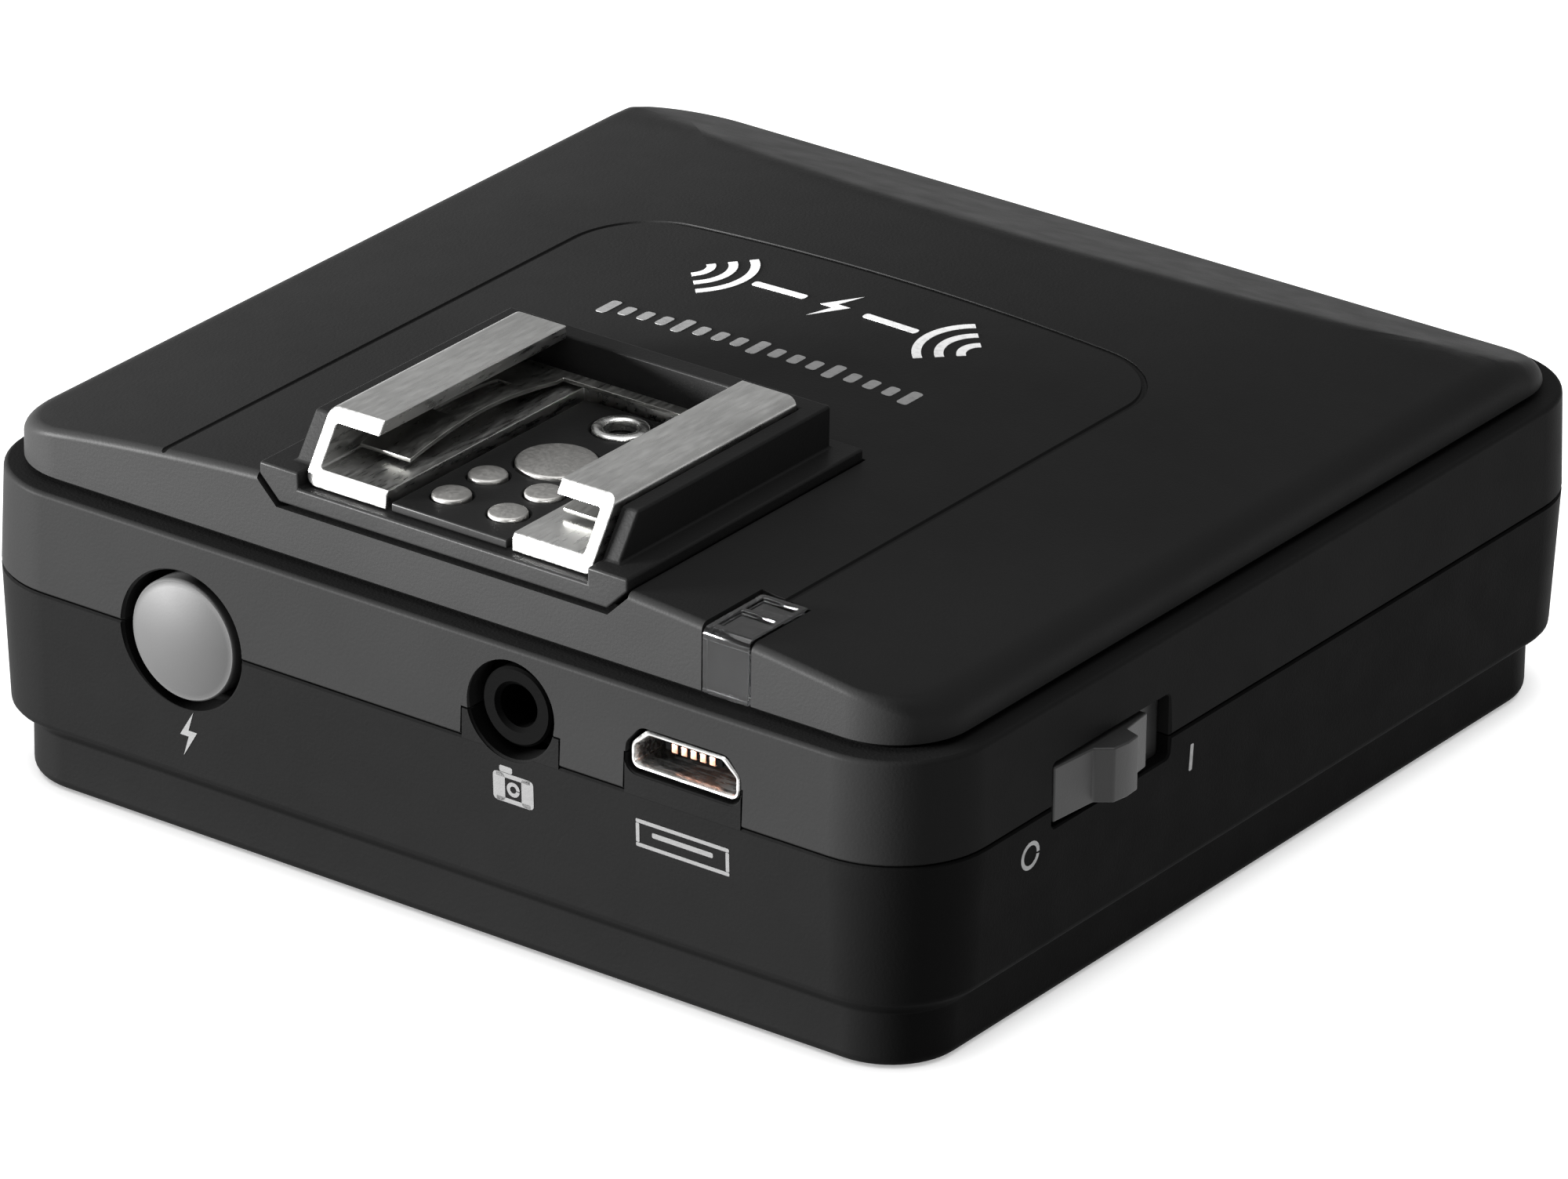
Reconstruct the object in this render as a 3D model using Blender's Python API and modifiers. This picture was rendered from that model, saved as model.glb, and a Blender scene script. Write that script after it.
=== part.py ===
"""Wireless flash trigger: a hot-shoe receiver in a square, two-shell battery case.

Frame: X runs to the right along the front face, Y to the back, Z up. The origin is the
middle of the underside. Sizes and places are in millimetres, and become metres where a
mesh is made.
"""

import math

import bmesh
import bpy
from mathutils import Matrix, Vector

MM = 0.001
GAP = 0.3

# Case: plan, levels and wall
CASE_X = 68.4
CASE_Y = 69.4
CORNER_R = 6.3
WALL = 1.8
FLOOR = 1.8
STEP_Z = 4.6
PARTING_Z = 13.3
LEDGE_Z = 19.6
SKIRT_TOP_Z = 3.5
SKIRT_INSET = 1.7
BASE_FILLET = 0.7
LOWER_DRAFT = 0.4
UPPER_DRAFT = 0.2
HALF_X = CASE_X / 2
HALF_Y = CASE_Y / 2
FRONT_Y = -HALF_Y

# Top cover: a crowned deck with a sloped facet along its rear edge
COVER_INSET = 1.4
COVER_SKIN = 1.4
CROWN_Z = 25.0
CROWN_RADIUS = 208.0
REAR_EDGE_Z = 20.25
REAR_SLOPE = math.radians(19.8)
CREASE_BLEND = 0.3
SIDE_FILLET = 1.5
FRONT_FILLET = 0.5
REAR_FILLET = 0.3
COVER_X = HALF_X - COVER_INSET
COVER_Y = HALF_Y - COVER_INSET
COVER_R = CORNER_R - COVER_INSET
GROOVE_X = 20.0
GROOVE_BACK_Y = 10.4
GROOVE_CORNER_R = 4.8
GROOVE_R = 0.22

# Hot shoe, to the size of a camera accessory shoe: an 18.6 mm foot under two lips
SHOE_INNER_X = 9.3
SHOE_SHEET = 0.8
SHOE_FLOOR_SHEET = 1.1
SHOE_OUTER_X = SHOE_INNER_X + SHOE_SHEET
LIP_INNER_X = 6.25
SHOE_TOP_Z = 28.6
SHOE_FLOOR_Z = 25.5
SHOE_FRONT_Y = -32.5
SHOE_LIP_FRONT_Y = -29.95
SHOE_BACK_Y = -13.4
SHOE_CUT_X = 4.45
SHOE_BRIDGE = 0.7
PLINTH_X = 13.0
PLINTH_FOOT_X = 11.6
PLINTH_Z = 25.3
PLINTH_BOTTOM_Z = 23.15
PLINTH_FRONT_Y = -33.2
PLINTH_BACK_Y = -10.9
CHEEK_TOP_Z = 27.9
CHEEK_X = 11.4
CHEEK_BACK_Y = -11.9
STOP_TOP_Z = 27.6
BASE_FLOOR_Z = SHOE_FLOOR_Z - SHOE_FLOOR_SHEET - GAP
BLOCK_X = 4.1
BLOCK_TOP_Z = 24.95
DATA_CONTACT_R = 1.15
DATA_CONTACT_X = 2.0
DATA_CONTACT_YS = (-29.65, -26.3)
CENTRE_CONTACT_R = 2.4
CENTRE_CONTACT_Y = -22.5
CONTACT_TOP_Z = 25.2
LOCK_RING_Y = -16.5
LOCK_RING_R = 1.7
LOCK_HOLE_R = 1.0

# Front face
BUTTON_X = -17.6
BUTTON_Z = 13.25
BUTTON_R = 3.8
BUTTON_HOLE_R = 4.6
BUTTON_FLANGE_R = 4.85
BUTTON_TRAVEL = 0.7
BUTTON_PROUD = 0.35
BUTTON_DOME = 0.6
JACK_Z = 15.8
JACK_X = 6.0
JACK_RECESS_R = 3.0
JACK_COLLAR_R = 2.4
JACK_BORE_R = 1.3
JACK_TAB_X = 3.4
JACK_TAB_TOP_Z = 15.0
USB_X = 18.0
USB_Z = 15.95
USB_HALF_X = 3.6
USB_HALF_Z = 1.1
USB_SHEET = 0.25
USB_TAB_X = 4.0

# Right face
WINDOW_FRONT_Y = -22.0
WINDOW_BACK_Y = -10.5
WINDOW_Z = 13.95
WINDOW_HALF_Z = 2.0
WINDOW_WALL = 0.9
KNOB_HALF_Z = 1.7
KNOB_LENGTH = 9.0
KNOB_RIDGE = 2.2
KNOB_RIDGE_FOOT = 3.6
KNOB_RIDGE_SHIFT = 0.7
KNOB_FLAT_PROUD = 0.2
KNOB_PROUD = 1.3
KEEPER_REACH = 2.8
LEVER_Z = 11.7
SWITCH_TRAVEL = 2.1
KNOB_Y = WINDOW_FRONT_Y + 0.2 + KNOB_LENGTH / 2

# Light pipe, over the front edge of the cover
PIPE_X = 19.9
PIPE_WIDTH = 3.2
PIPE_BACK_Y = -27.8
PIPE_BOTTOM_Z = 20.05

# Inside
BOARD_BOTTOM_Z = 12.6
BOARD_TOP_Z = 14.2
BOARD_X = 30.3
BOARD_FRONT_Y = -31.6
BOARD_BACK_Y = 0.2
SCREW_X = 28.9
SCREW_Y = 29.2
BOSS_R = 2.0
SCREW_HOLE_R = 1.2
CELL_R = 7.1
CELL_LENGTH = 49.0
CELL_NUB_R = 2.7
CELL_NUB = 1.2
CELL_Z = 10.3
CELL_YS = (9.9, 24.6)
BAY_X = 26.6
BAY_FRONT_Y = 2.2
BAY_WALL = 1.2
CONTACT_SHEET = 0.4
CONTACT_FACE_X = BAY_X - GAP - CONTACT_SHEET
CELL_SHIFT = CELL_LENGTH / 2 + CELL_NUB + GAP - CONTACT_FACE_X
INSERT_Y = -12.0
INSERT_R = 4.0
INSERT_THREAD_R = 3.0
INSERT_TOP_Z = 7.6

# Battery door, in the underside, with a lip in the rear skirt
DOOR_X = 25.0
DOOR_FLANGE_X = 26.2
DOOR_FRONT_Y = 2.8
DOOR_BOTTOM_Z = 0.3
DOOR_LIP_TOP_Z = 4.2

# Turns that lay an outline's own Z along an axis, and those that lay a cylinder along it
OUTLINE_TURNS = {
    "X": Matrix(((0, 0, 1), (1, 0, 0), (0, 1, 0))).to_4x4(),
    "Y": Matrix(((1, 0, 0), (0, 0, -1), (0, 1, 0))).to_4x4(),
    "Z": Matrix.Identity(4),
}
CYLINDER_TURNS = {
    "X": Matrix.Rotation(math.pi / 2, 4, "Y"),
    "Y": Matrix.Rotation(-math.pi / 2, 4, "X"),
    "Z": Matrix.Identity(4),
}


# Scene


def new_collection(name):
    collection = bpy.data.collections.new(name)
    bpy.context.scene.collection.children.link(collection)
    return collection


for old in list(bpy.data.objects):
    bpy.data.objects.remove(old, do_unlink=True)
PARTS = new_collection("wireless_flash_trigger")
CUTTERS = new_collection("cutters")


def group(name, place):
    """An empty that the pieces of one assembly are parented to."""
    empty = bpy.data.objects.new(name, None)
    empty.location = Vector(place) * MM
    PARTS.objects.link(empty)
    return empty


def material(name, colour, roughness, metallic=0.0, alpha=1.0):
    made = bpy.data.materials.new(name)
    made.use_nodes = True
    shader = made.node_tree.nodes["Principled BSDF"]
    shader.inputs["Base Color"].default_value = (*colour, 1.0)
    shader.inputs["Roughness"].default_value = roughness
    shader.inputs["Metallic"].default_value = metallic
    shader.inputs["Alpha"].default_value = alpha
    made.diffuse_color = (*colour, alpha)
    return made


# Shapes


def as_object(name, bm):
    """A named object in the parts collection, from a bmesh in millimetres."""
    bmesh.ops.recalc_face_normals(bm, faces=bm.faces)
    bmesh.ops.scale(bm, vec=(MM, MM, MM), verts=bm.verts)
    mesh = bpy.data.meshes.new(name)
    bm.to_mesh(mesh)
    bm.free()
    obj = bpy.data.objects.new(name, mesh)
    PARTS.objects.link(obj)
    return obj


def add_box(bm, low, high):
    size = [b - a for a, b in zip(low, high)]
    centre = [(a + b) / 2 for a, b in zip(low, high)]
    made = bmesh.ops.create_cube(bm, size=1.0)["verts"]
    bmesh.ops.scale(bm, vec=size, verts=made)
    bmesh.ops.translate(bm, vec=centre, verts=made)


def add_cylinder(bm, start, axis, length, radius, sides):
    """A closed cylinder from start, along an axis."""
    made = bmesh.ops.create_cone(
        bm,
        cap_ends=True,
        segments=sides,
        radius1=radius,
        radius2=radius,
        depth=length,
    )["verts"]
    turn = CYLINDER_TURNS[axis]
    along = turn @ Vector((0, 0, length / 2))
    bmesh.ops.transform(bm, matrix=Matrix.Translation(Vector(start) + along) @ turn, verts=made)


def box(name, low, high):
    bm = bmesh.new()
    add_box(bm, low, high)
    return as_object(name, bm)


def boxes(name, *spans):
    """Separate boxes in one object."""
    bm = bmesh.new()
    for low, high in spans:
        add_box(bm, low, high)
    return as_object(name, bm)


def cylinder(name, start, axis, length, radius, sides=24):
    bm = bmesh.new()
    add_cylinder(bm, start, axis, length, radius, sides)
    return as_object(name, bm)


def cylinders(name, starts, axis, length, radius, sides=20):
    """Equal cylinders in one object."""
    bm = bmesh.new()
    for start in starts:
        add_cylinder(bm, start, axis, length, radius, sides)
    return as_object(name, bm)


def curve_to_mesh(name, curve, place):
    """A curve's evaluated mesh, with its caps welded on."""
    source = bpy.data.objects.new(name + "_curve", curve)
    PARTS.objects.link(source)
    source.matrix_world = place
    bpy.context.view_layer.update()
    graph = bpy.context.evaluated_depsgraph_get()
    mesh = bpy.data.meshes.new_from_object(source.evaluated_get(graph))
    bm = bmesh.new()
    bm.from_mesh(mesh)
    bmesh.ops.remove_doubles(bm, verts=bm.verts, dist=1e-6)
    bmesh.ops.recalc_face_normals(bm, faces=bm.faces)
    bm.to_mesh(mesh)
    bm.free()
    mesh.name = name
    obj = bpy.data.objects.new(name, mesh)
    PARTS.objects.link(obj)
    obj.matrix_world = place
    bpy.data.objects.remove(source)
    return obj


def prism(name, outline, low, high, axis="Z", holes=()):
    """A flat outline extruded along an axis, in the coordinates of the other two, in X, Y, Z order."""
    curve = bpy.data.curves.new(name, "CURVE")
    curve.dimensions = "2D"
    curve.fill_mode = "BOTH"
    curve.extrude = (high - low) / 2 * MM
    for points in (outline, *holes):
        spline = curve.splines.new("POLY")
        spline.points.add(len(points) - 1)
        for point, (u, v) in zip(spline.points, points):
            point.co = (u * MM, v * MM, 0, 1)
        spline.use_cyclic_u = True
    middle = Vector([(low + high) / 2 * MM if letter == axis else 0 for letter in "XYZ"])
    return curve_to_mesh(name, curve, Matrix.Translation(middle) @ OUTLINE_TURNS[axis])


def wire(name, points, radius):
    """A round wire along points."""
    curve = bpy.data.curves.new(name, "CURVE")
    curve.dimensions = "3D"
    curve.bevel_depth = radius * MM
    curve.bevel_resolution = 2
    curve.use_fill_caps = True
    spline = curve.splines.new("POLY")
    spline.points.add(len(points) - 1)
    for point, place in zip(spline.points, points):
        point.co = (*(Vector(place) * MM), 1)
    return curve_to_mesh(name, curve, Matrix.Identity(4))


def turned(name, profile, place, axis="Z", sides=24):
    """A turned shape: its profile is (radius, height) from the top's middle down the outer side."""
    bm = bmesh.new()
    closed = profile[0] == profile[-1]
    points = profile[:-1] if closed else profile
    verts = [bm.verts.new((radius * MM, 0, height * MM)) for radius, height in points]
    for a, b in zip(verts, verts[1:] + verts[:1] if closed else verts[1:]):
        bm.edges.new((a, b))
    mesh = bpy.data.meshes.new(name)
    bm.to_mesh(mesh)
    bm.free()
    obj = bpy.data.objects.new(name, mesh)
    PARTS.objects.link(obj)
    screw = obj.modifiers.new("turn", "SCREW")
    screw.steps = sides
    screw.render_steps = sides
    screw.use_merge_vertices = True
    screw.merge_threshold = 0.00001
    obj.location = Vector(place) * MM
    obj.rotation_euler = {"X": (0, math.pi / 2, 0), "Y": (-math.pi / 2, 0, 0), "Z": (0, 0, 0)}[axis]
    return obj


def rounded(half_x, half_y, radius, corner_steps=8, run_x=1, run_y=1):
    """A rounded rectangle, anticlockwise, as (x, y, normal x, normal y) points."""
    points = []
    for quarter, (sx, sy) in enumerate(((1, 1), (-1, 1), (-1, -1), (1, -1))):
        for step in range(corner_steps + 1):
            turn = math.pi / 2 * (quarter + step / corner_steps)
            nx, ny = math.cos(turn), math.sin(turn)
            x = sx * (half_x - radius) + radius * nx
            y = sy * (half_y - radius) + radius * ny
            points.append((x, y, nx, ny))
        runs, reach = (run_x, half_x - radius) if quarter % 2 == 0 else (run_y, half_y - radius)
        x, y, nx, ny = points[-1]
        for step in range(1, runs):
            travel = 2 * reach * step / runs
            points.append((x - ny * travel, y + nx * travel, nx, ny))
    return points


def stacked(name, rings):
    """A closed solid through rings of equal count, from the lowest to the highest."""
    bm = bmesh.new()
    loops = [[bm.verts.new(point) for point in ring] for ring in rings]
    count = len(loops[0])
    for below, above in zip(loops, loops[1:]):
        for i in range(count):
            j = (i + 1) % count
            bm.faces.new((below[i], below[j], above[j], above[i]))
    bm.faces.new(loops[0])
    bm.faces.new(loops[-1])
    return as_object(name, bm)


def case_ring(height, inset):
    outline = rounded(HALF_X - inset, HALF_Y - inset, CORNER_R - inset)
    return [(x, y, height) for x, y, _, _ in outline]


def arc(centre, radius, start, end, steps):
    """Points on an arc in the plane, angles in degrees."""
    turns = [math.radians(start + (end - start) * i / steps) for i in range(steps + 1)]
    return [(centre[0] + radius * math.cos(t), centre[1] + radius * math.sin(t)) for t in turns]


# Modifiers


def as_cutter(obj):
    PARTS.objects.unlink(obj)
    CUTTERS.objects.link(obj)
    obj.hide_render = True
    obj.display_type = "WIRE"
    return obj


def combine(target, tool, operation):
    boolean = target.modifiers.new(operation.lower(), "BOOLEAN")
    boolean.operation = operation
    boolean.solver = "EXACT"
    boolean.object = as_cutter(tool)
    return target


def cut(target, *tools):
    for tool in tools:
        combine(target, tool, "DIFFERENCE")
    return target


def fuse(target, *tools):
    for tool in tools:
        combine(target, tool, "UNION")
    return target


def soften(obj, width, segments=2, angle=35):
    bevel = obj.modifiers.new("soften", "BEVEL")
    bevel.width = width * MM
    bevel.segments = segments
    bevel.limit_method = "ANGLE"
    bevel.angle_limit = math.radians(angle)
    return obj


def set_origin(obj, point):
    """Moves the object's origin to a point and leaves its mesh where it is."""
    shift = Vector(point) * MM - obj.location
    obj.data.transform(Matrix.Translation(-shift))
    obj.location = Vector(point) * MM
    return obj


def finish(obj, parent, look, smooth=True):
    """Gives a piece its material, its shading and its parent."""
    obj.data.materials.clear()
    obj.data.materials.append(look)
    if smooth:
        obj.data.shade_smooth()
        obj.data.set_sharp_from_angle(angle=math.radians(35))
    bpy.context.view_layer.update()
    world = obj.matrix_world.copy()
    obj.parent = parent
    obj.matrix_parent_inverse = parent.matrix_world.inverted()
    obj.matrix_world = world
    return obj


# Casing


def deck_height(x, y):
    """Height of the cover's top surface: a crown, cut down by the rear slope."""
    crown = CROWN_Z - x * x / (2 * CROWN_RADIUS)
    slope = REAR_EDGE_Z + (COVER_Y - y) * math.tan(REAR_SLOPE)
    share = min(1.0, max(0.0, 0.5 + 0.5 * (slope - crown) / CREASE_BLEND))
    return slope * (1 - share) + crown * share - CREASE_BLEND * share * (1 - share)


def cover_ring(inset, corner_r, drop=0.0):
    outline = rounded(COVER_X - inset, COVER_Y - inset, corner_r, 5, 12, 8)
    return [(x, y, deck_height(x, y) - drop) for x, y, _, _ in outline]


def cover_edge_ring(angle):
    """One ring of the fillet between the cover's wall and its top."""
    ring = []
    for x, y, nx, ny in rounded(COVER_X, COVER_Y, COVER_R, 5, 12, 8):
        fillet = SIDE_FILLET * nx * nx + (REAR_FILLET if ny > 0 else FRONT_FILLET) * ny * ny
        inward = fillet * (1 - math.cos(angle))
        px, py = x - nx * inward, y - ny * inward
        height = deck_height(px, py) - fillet * (1 - math.sin(angle))
        ring.append((px, py, max(height, LEDGE_Z + GAP + 0.1)))
    return ring


def top_cover():
    foot_z = LEDGE_Z + GAP
    foot = [(x, y, foot_z) for x, y, _, _ in rounded(COVER_X, COVER_Y, COVER_R, 5, 12, 8)]
    edges = [cover_edge_ring(math.radians(a)) for a in (0, 30, 60, 90)]
    insets = (2.6, 4.2, 6.0, 7.6, 9.2, 10.8, 12.6, 17.0, 23.0, 29.0)
    tops = [cover_ring(inset, max(COVER_R - inset, 0.8)) for inset in insets]
    cover = stacked("top_cover", [foot, *edges, *tops])
    skin_foot = [(x, y, LEDGE_Z - 1.0) for x, y, _ in cover_ring(COVER_SKIN, COVER_R - COVER_SKIN)]
    skin_insets = (COVER_SKIN, 5.0, 8.0, 11.0, 14.0, 29.0)
    skin_tops = [cover_ring(inset, max(COVER_R - inset, 0.8), COVER_SKIN) for inset in skin_insets]
    cut(cover, stacked("cover_hollow", [skin_foot, *skin_tops]))
    cut(cover, shoe_cutout(), light_pipe_notch(), groove_tool())
    return cover


def shoe_cutout():
    """The opening for the shoe's plinth, narrower at its foot, open at the front."""
    top, foot = PLINTH_X + GAP, PLINTH_FOOT_X + GAP
    low, high = PLINTH_BOTTOM_Z - GAP, CROWN_Z + 1.0
    right = [(foot, low), (top, low + top - foot), (top, high)]
    outline = right + [(-x, z) for x, z in reversed(right)]
    return prism("shoe_cutout", outline, FRONT_Y - 1.0, PLINTH_BACK_Y + GAP, "Y")


def light_pipe_notch():
    half = PIPE_WIDTH / 2 + GAP
    return box(
        "light_pipe_notch",
        (PIPE_X - half, FRONT_Y - 1.0, LEDGE_Z),
        (PIPE_X + half, PIPE_BACK_Y + GAP, CROWN_Z + 1.0),
    )


def groove_tool():
    """A thin round bar that presses the panel groove into the deck."""
    r = GROOVE_CORNER_R
    front, turn_y = FRONT_Y + 0.4, GROOVE_BACK_Y - r
    side = [(GROOVE_X, front + (turn_y - front) * i / 9) for i in range(9)]
    bend = arc((GROOVE_X - r, turn_y), r, 0, 90, 6)
    back_reach = GROOVE_X - r
    back = [(back_reach - 2 * back_reach * i / 8, GROOVE_BACK_Y) for i in range(1, 8)]
    half = side + bend
    route = half + back + [(-x, y) for x, y in reversed(half)]
    return wire("groove_tool", [(x, y, deck_height(x, y)) for x, y in route], GROOVE_R)


def window_tool(name):
    """The slot for the power switch in the right wall."""
    inner = HALF_X - WALL - 1.5
    hole_low = (inner, WINDOW_FRONT_Y, WINDOW_Z - WINDOW_HALF_Z)
    hole_high = (HALF_X + 1.0, WINDOW_BACK_Y, WINDOW_Z + WINDOW_HALF_Z)
    return box(name, hole_low, hole_high)


def window_pocket(name):
    """Thins the wall from inside, so that the slider's plate sits close behind the slot."""
    reach = KNOB_LENGTH / 2 + KEEPER_REACH + 0.4
    low = (HALF_X - WALL - 1.5, KNOB_Y - reach, WINDOW_Z - 3.4)
    high = (HALF_X - WINDOW_WALL, KNOB_Y + reach + SWITCH_TRAVEL, WINDOW_Z + 3.0)
    return box(name, low, high)


def button_hole(name):
    start = (BUTTON_X, FRONT_Y - 1.0, BUTTON_Z)
    return cylinder(name, start, "Y", WALL + 2.5, BUTTON_HOLE_R, 40)


def boss_places(height):
    return [(sx * SCREW_X, sy * SCREW_Y, height) for sx in (-1, 1) for sy in (-1, 1)]


def upper_shell():
    foot, edge = PARTING_Z + GAP / 2, 0.3
    rings = [
        case_ring(foot, 0.0),
        case_ring(LEDGE_Z - edge, UPPER_DRAFT),
        case_ring(LEDGE_Z, UPPER_DRAFT + edge),
    ]
    shell = stacked("upper_shell", rings)
    plate_z = LEDGE_Z - 1.2
    cut(shell, stacked("upper_hollow", [case_ring(foot - 1.0, WALL), case_ring(plate_z, WALL + 0.2)]))
    boss_top = LEDGE_Z - 0.5
    fuse(shell, cylinders("upper_bosses", boss_places(foot), "Z", boss_top - foot, BOSS_R, 16))
    cut(shell, cylinders("upper_pilots", boss_places(foot - 1.0), "Z", 5.5, SCREW_HOLE_R, 12))
    cut(shell, button_hole("upper_button_hole"))
    cut(shell, window_pocket("upper_window_pocket"), window_tool("upper_window"))
    cut(shell, jack_notch(), usb_notch())
    low, high = plate_z - 1.0, LEDGE_Z + 1.0
    ribbon_slot = ((-4.2, -21.5, low), (4.2, -18.5, high))
    pipe_slot = ((PIPE_X - 1.4, PIPE_BACK_Y - 1.2, low), (PIPE_X + 1.4, PIPE_BACK_Y + 0.4, high))
    cut(shell, boxes("plate_slots", ribbon_slot, pipe_slot))
    return shell


def jack_notch():
    """The jack's recess, open downwards for the lower shell's tab."""
    half, low = JACK_TAB_X + GAP, PARTING_Z - 1.0
    shoulder = JACK_TAB_TOP_Z + GAP
    rise = math.asin((shoulder - JACK_Z) / JACK_RECESS_R)
    top = arc((JACK_X, JACK_Z), JACK_RECESS_R, math.degrees(rise), 180 - math.degrees(rise), 20)
    left, right = JACK_X - half, JACK_X + half
    outline = [(left, shoulder), (left, low), (right, low), (right, shoulder)]
    return prism("jack_notch", outline + top, FRONT_Y - 1.0, FRONT_Y + WALL + 1.0, "Y")


def usb_outline(grow):
    """The socket's outline: full width below, with sloped upper corners."""
    x, z = USB_HALF_X + grow, USB_HALF_Z + grow
    shoulder, slope = 0.1, 1.0
    points = [(-x, -z), (x, -z), (x, shoulder), (x - slope, z), (slope - x, z), (-x, shoulder)]
    return [(USB_X + px, USB_Z + pz) for px, pz in points]


def usb_notch():
    """The USB opening, open downwards for the lower shell's tab."""
    clear = USB_SHEET + GAP
    points = usb_outline(clear)
    half, low = USB_TAB_X + GAP, PARTING_Z - 1.0
    foot = points[0][1]
    outline = [(USB_X - half, foot), (USB_X - half, low), (USB_X + half, low), (USB_X + half, foot)]
    return prism("usb_notch", outline + points[2:], FRONT_Y - 1.0, FRONT_Y + WALL + 1.0, "Y")


def lower_shell():
    top = PARTING_Z - GAP / 2
    skirt = SKIRT_INSET
    rings = [
        case_ring(0.0, skirt + BASE_FILLET),
        case_ring(BASE_FILLET * 0.13, skirt + BASE_FILLET * 0.5),
        case_ring(BASE_FILLET * 0.5, skirt + BASE_FILLET * 0.13),
        case_ring(BASE_FILLET, skirt),
        case_ring(SKIRT_TOP_Z, skirt - 0.05),
        case_ring(STEP_Z, LOWER_DRAFT),
        case_ring(top, 0.0),
    ]
    shell = stacked("lower_shell", rings)
    hollow = [
        case_ring(FLOOR, skirt + WALL),
        case_ring(STEP_Z + 0.4, skirt + WALL - 0.1),
        case_ring(STEP_Z + 1.6, LOWER_DRAFT + WALL),
        case_ring(top + 1.0, WALL),
    ]
    cut(shell, stacked("lower_hollow", hollow))
    add_lower_fittings(shell, top)
    cut_lower_openings(shell, top)
    return shell


def add_lower_fittings(shell, top):
    """Bosses, board posts, bay walls and the two tabs."""
    fuse(shell, cylinders("lower_bosses", boss_places(FLOOR - 0.8), "Z", top - FLOOR + 0.8, BOSS_R, 16))
    posts = [(x, y, FLOOR - 0.5) for x in (-22.0, 22.0) for y in (-23.0, -4.0)]
    fuse(shell, cylinders("board_posts", posts, "Z", BOARD_BOTTOM_Z - GAP - FLOOR + 0.5, 1.5, 12))
    fuse(shell, cylinder("insert_boss", (0, INSERT_Y, FLOOR - 0.5), "Z", 7.6, INSERT_R + GAP + 1.2, 28))
    out = BAY_X + BAY_WALL
    front = ((-out, BAY_FRONT_Y - BAY_WALL, FLOOR - 0.5), (out, BAY_FRONT_Y, BOARD_BOTTOM_Z - 0.4))
    fuse(shell, box("bay_front", *front))
    for side in (-1, 1):
        xs = sorted((side * BAY_X, side * out))
        fuse(shell, box("bay_side", (xs[0], BAY_FRONT_Y - 0.6, FLOOR - 0.5), (xs[1], 31.6, top)))
    low, back = top - 0.5, FRONT_Y + WALL - 0.2
    usb_top = USB_Z - USB_HALF_Z - USB_SHEET - GAP
    jack = ((JACK_X - JACK_TAB_X, FRONT_Y, low), (JACK_X + JACK_TAB_X, back, JACK_TAB_TOP_Z))
    usb = ((USB_X - USB_TAB_X, FRONT_Y, low), (USB_X + USB_TAB_X, back, usb_top))
    fuse(shell, boxes("socket_tabs", jack, usb))


def cut_lower_openings(shell, top):
    """Screw holes, sockets, switch window, insert pocket and battery opening."""
    cut(shell, cylinders("screw_seats", boss_places(-1.0), "Z", 2.9, BOSS_R, 16))
    cut(shell, cylinders("screw_holes", boss_places(1.0), "Z", top, SCREW_HOLE_R, 12))
    pocket_depth = INSERT_TOP_Z + GAP + 1.0
    cut(shell, cylinder("insert_pocket", (0, INSERT_Y, -1.0), "Z", pocket_depth, INSERT_R + GAP, 28))
    cut(shell, button_hole("lower_button_hole"))
    cut(shell, window_pocket("lower_window_pocket"), window_tool("lower_window"))
    jack_start = (JACK_X, FRONT_Y - 1.0, JACK_Z)
    cut(shell, cylinder("jack_tab_hole", jack_start, "Y", WALL + 2.0, JACK_RECESS_R, 40))
    narrow, wide = DOOR_X + GAP, DOOR_FLANGE_X + GAP
    opening = ((-narrow, DOOR_FRONT_Y - GAP, -1.0), (narrow, HALF_Y + 1.0, FLOOR + 0.4))
    cut(shell, box("battery_opening", *opening))
    rear_low = (-wide, HALF_Y - SKIRT_INSET - WALL - 2.0, FLOOR)
    rear_high = (wide, HALF_Y + 1.0, DOOR_LIP_TOP_Z + GAP)
    cut(shell, box("door_lip_opening", rear_low, rear_high))


def battery_door():
    back = HALF_Y - SKIRT_INSET - 0.05
    plate_top = FLOOR + GAP
    flange_top = plate_top + 0.8
    outline = [
        (DOOR_FRONT_Y, DOOR_BOTTOM_Z),
        (back - BASE_FILLET, DOOR_BOTTOM_Z),
        (back - BASE_FILLET * 0.5, DOOR_BOTTOM_Z + BASE_FILLET * 0.13),
        (back, BASE_FILLET),
        (back, plate_top + 0.1),
        (DOOR_FRONT_Y, plate_top + 0.1),
    ]
    door = prism("battery_door", outline, -DOOR_X, DOOR_X, "X")
    lip_front = back - 1.6
    flange = [
        (DOOR_FRONT_Y + 0.6, plate_top),
        (back, plate_top),
        (back, DOOR_LIP_TOP_Z),
        (lip_front, DOOR_LIP_TOP_Z),
        (lip_front, flange_top),
        (DOOR_FRONT_Y + 0.6, flange_top),
    ]
    fuse(door, prism("door_flange", flange, -DOOR_FLANGE_X, DOOR_FLANGE_X, "X"))
    low, high = DOOR_BOTTOM_Z - 0.5, DOOR_BOTTOM_Z + 0.4
    ribs = [((-7.0, y, low), (7.0, y + 0.8, high)) for y in (8.0, 9.6, 11.2, 12.8)]
    cut(door, boxes("door_grip", *ribs))
    return set_origin_after(door, (0, (DOOR_FRONT_Y + back) / 2, plate_top))


def set_origin_after(obj, point):
    """Moves the origin of a mesh that has been placed by a matrix."""
    place = obj.matrix_world.copy()
    obj.data.transform(place)
    obj.matrix_world = Matrix.Identity(4)
    return set_origin(obj, point)


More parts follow.
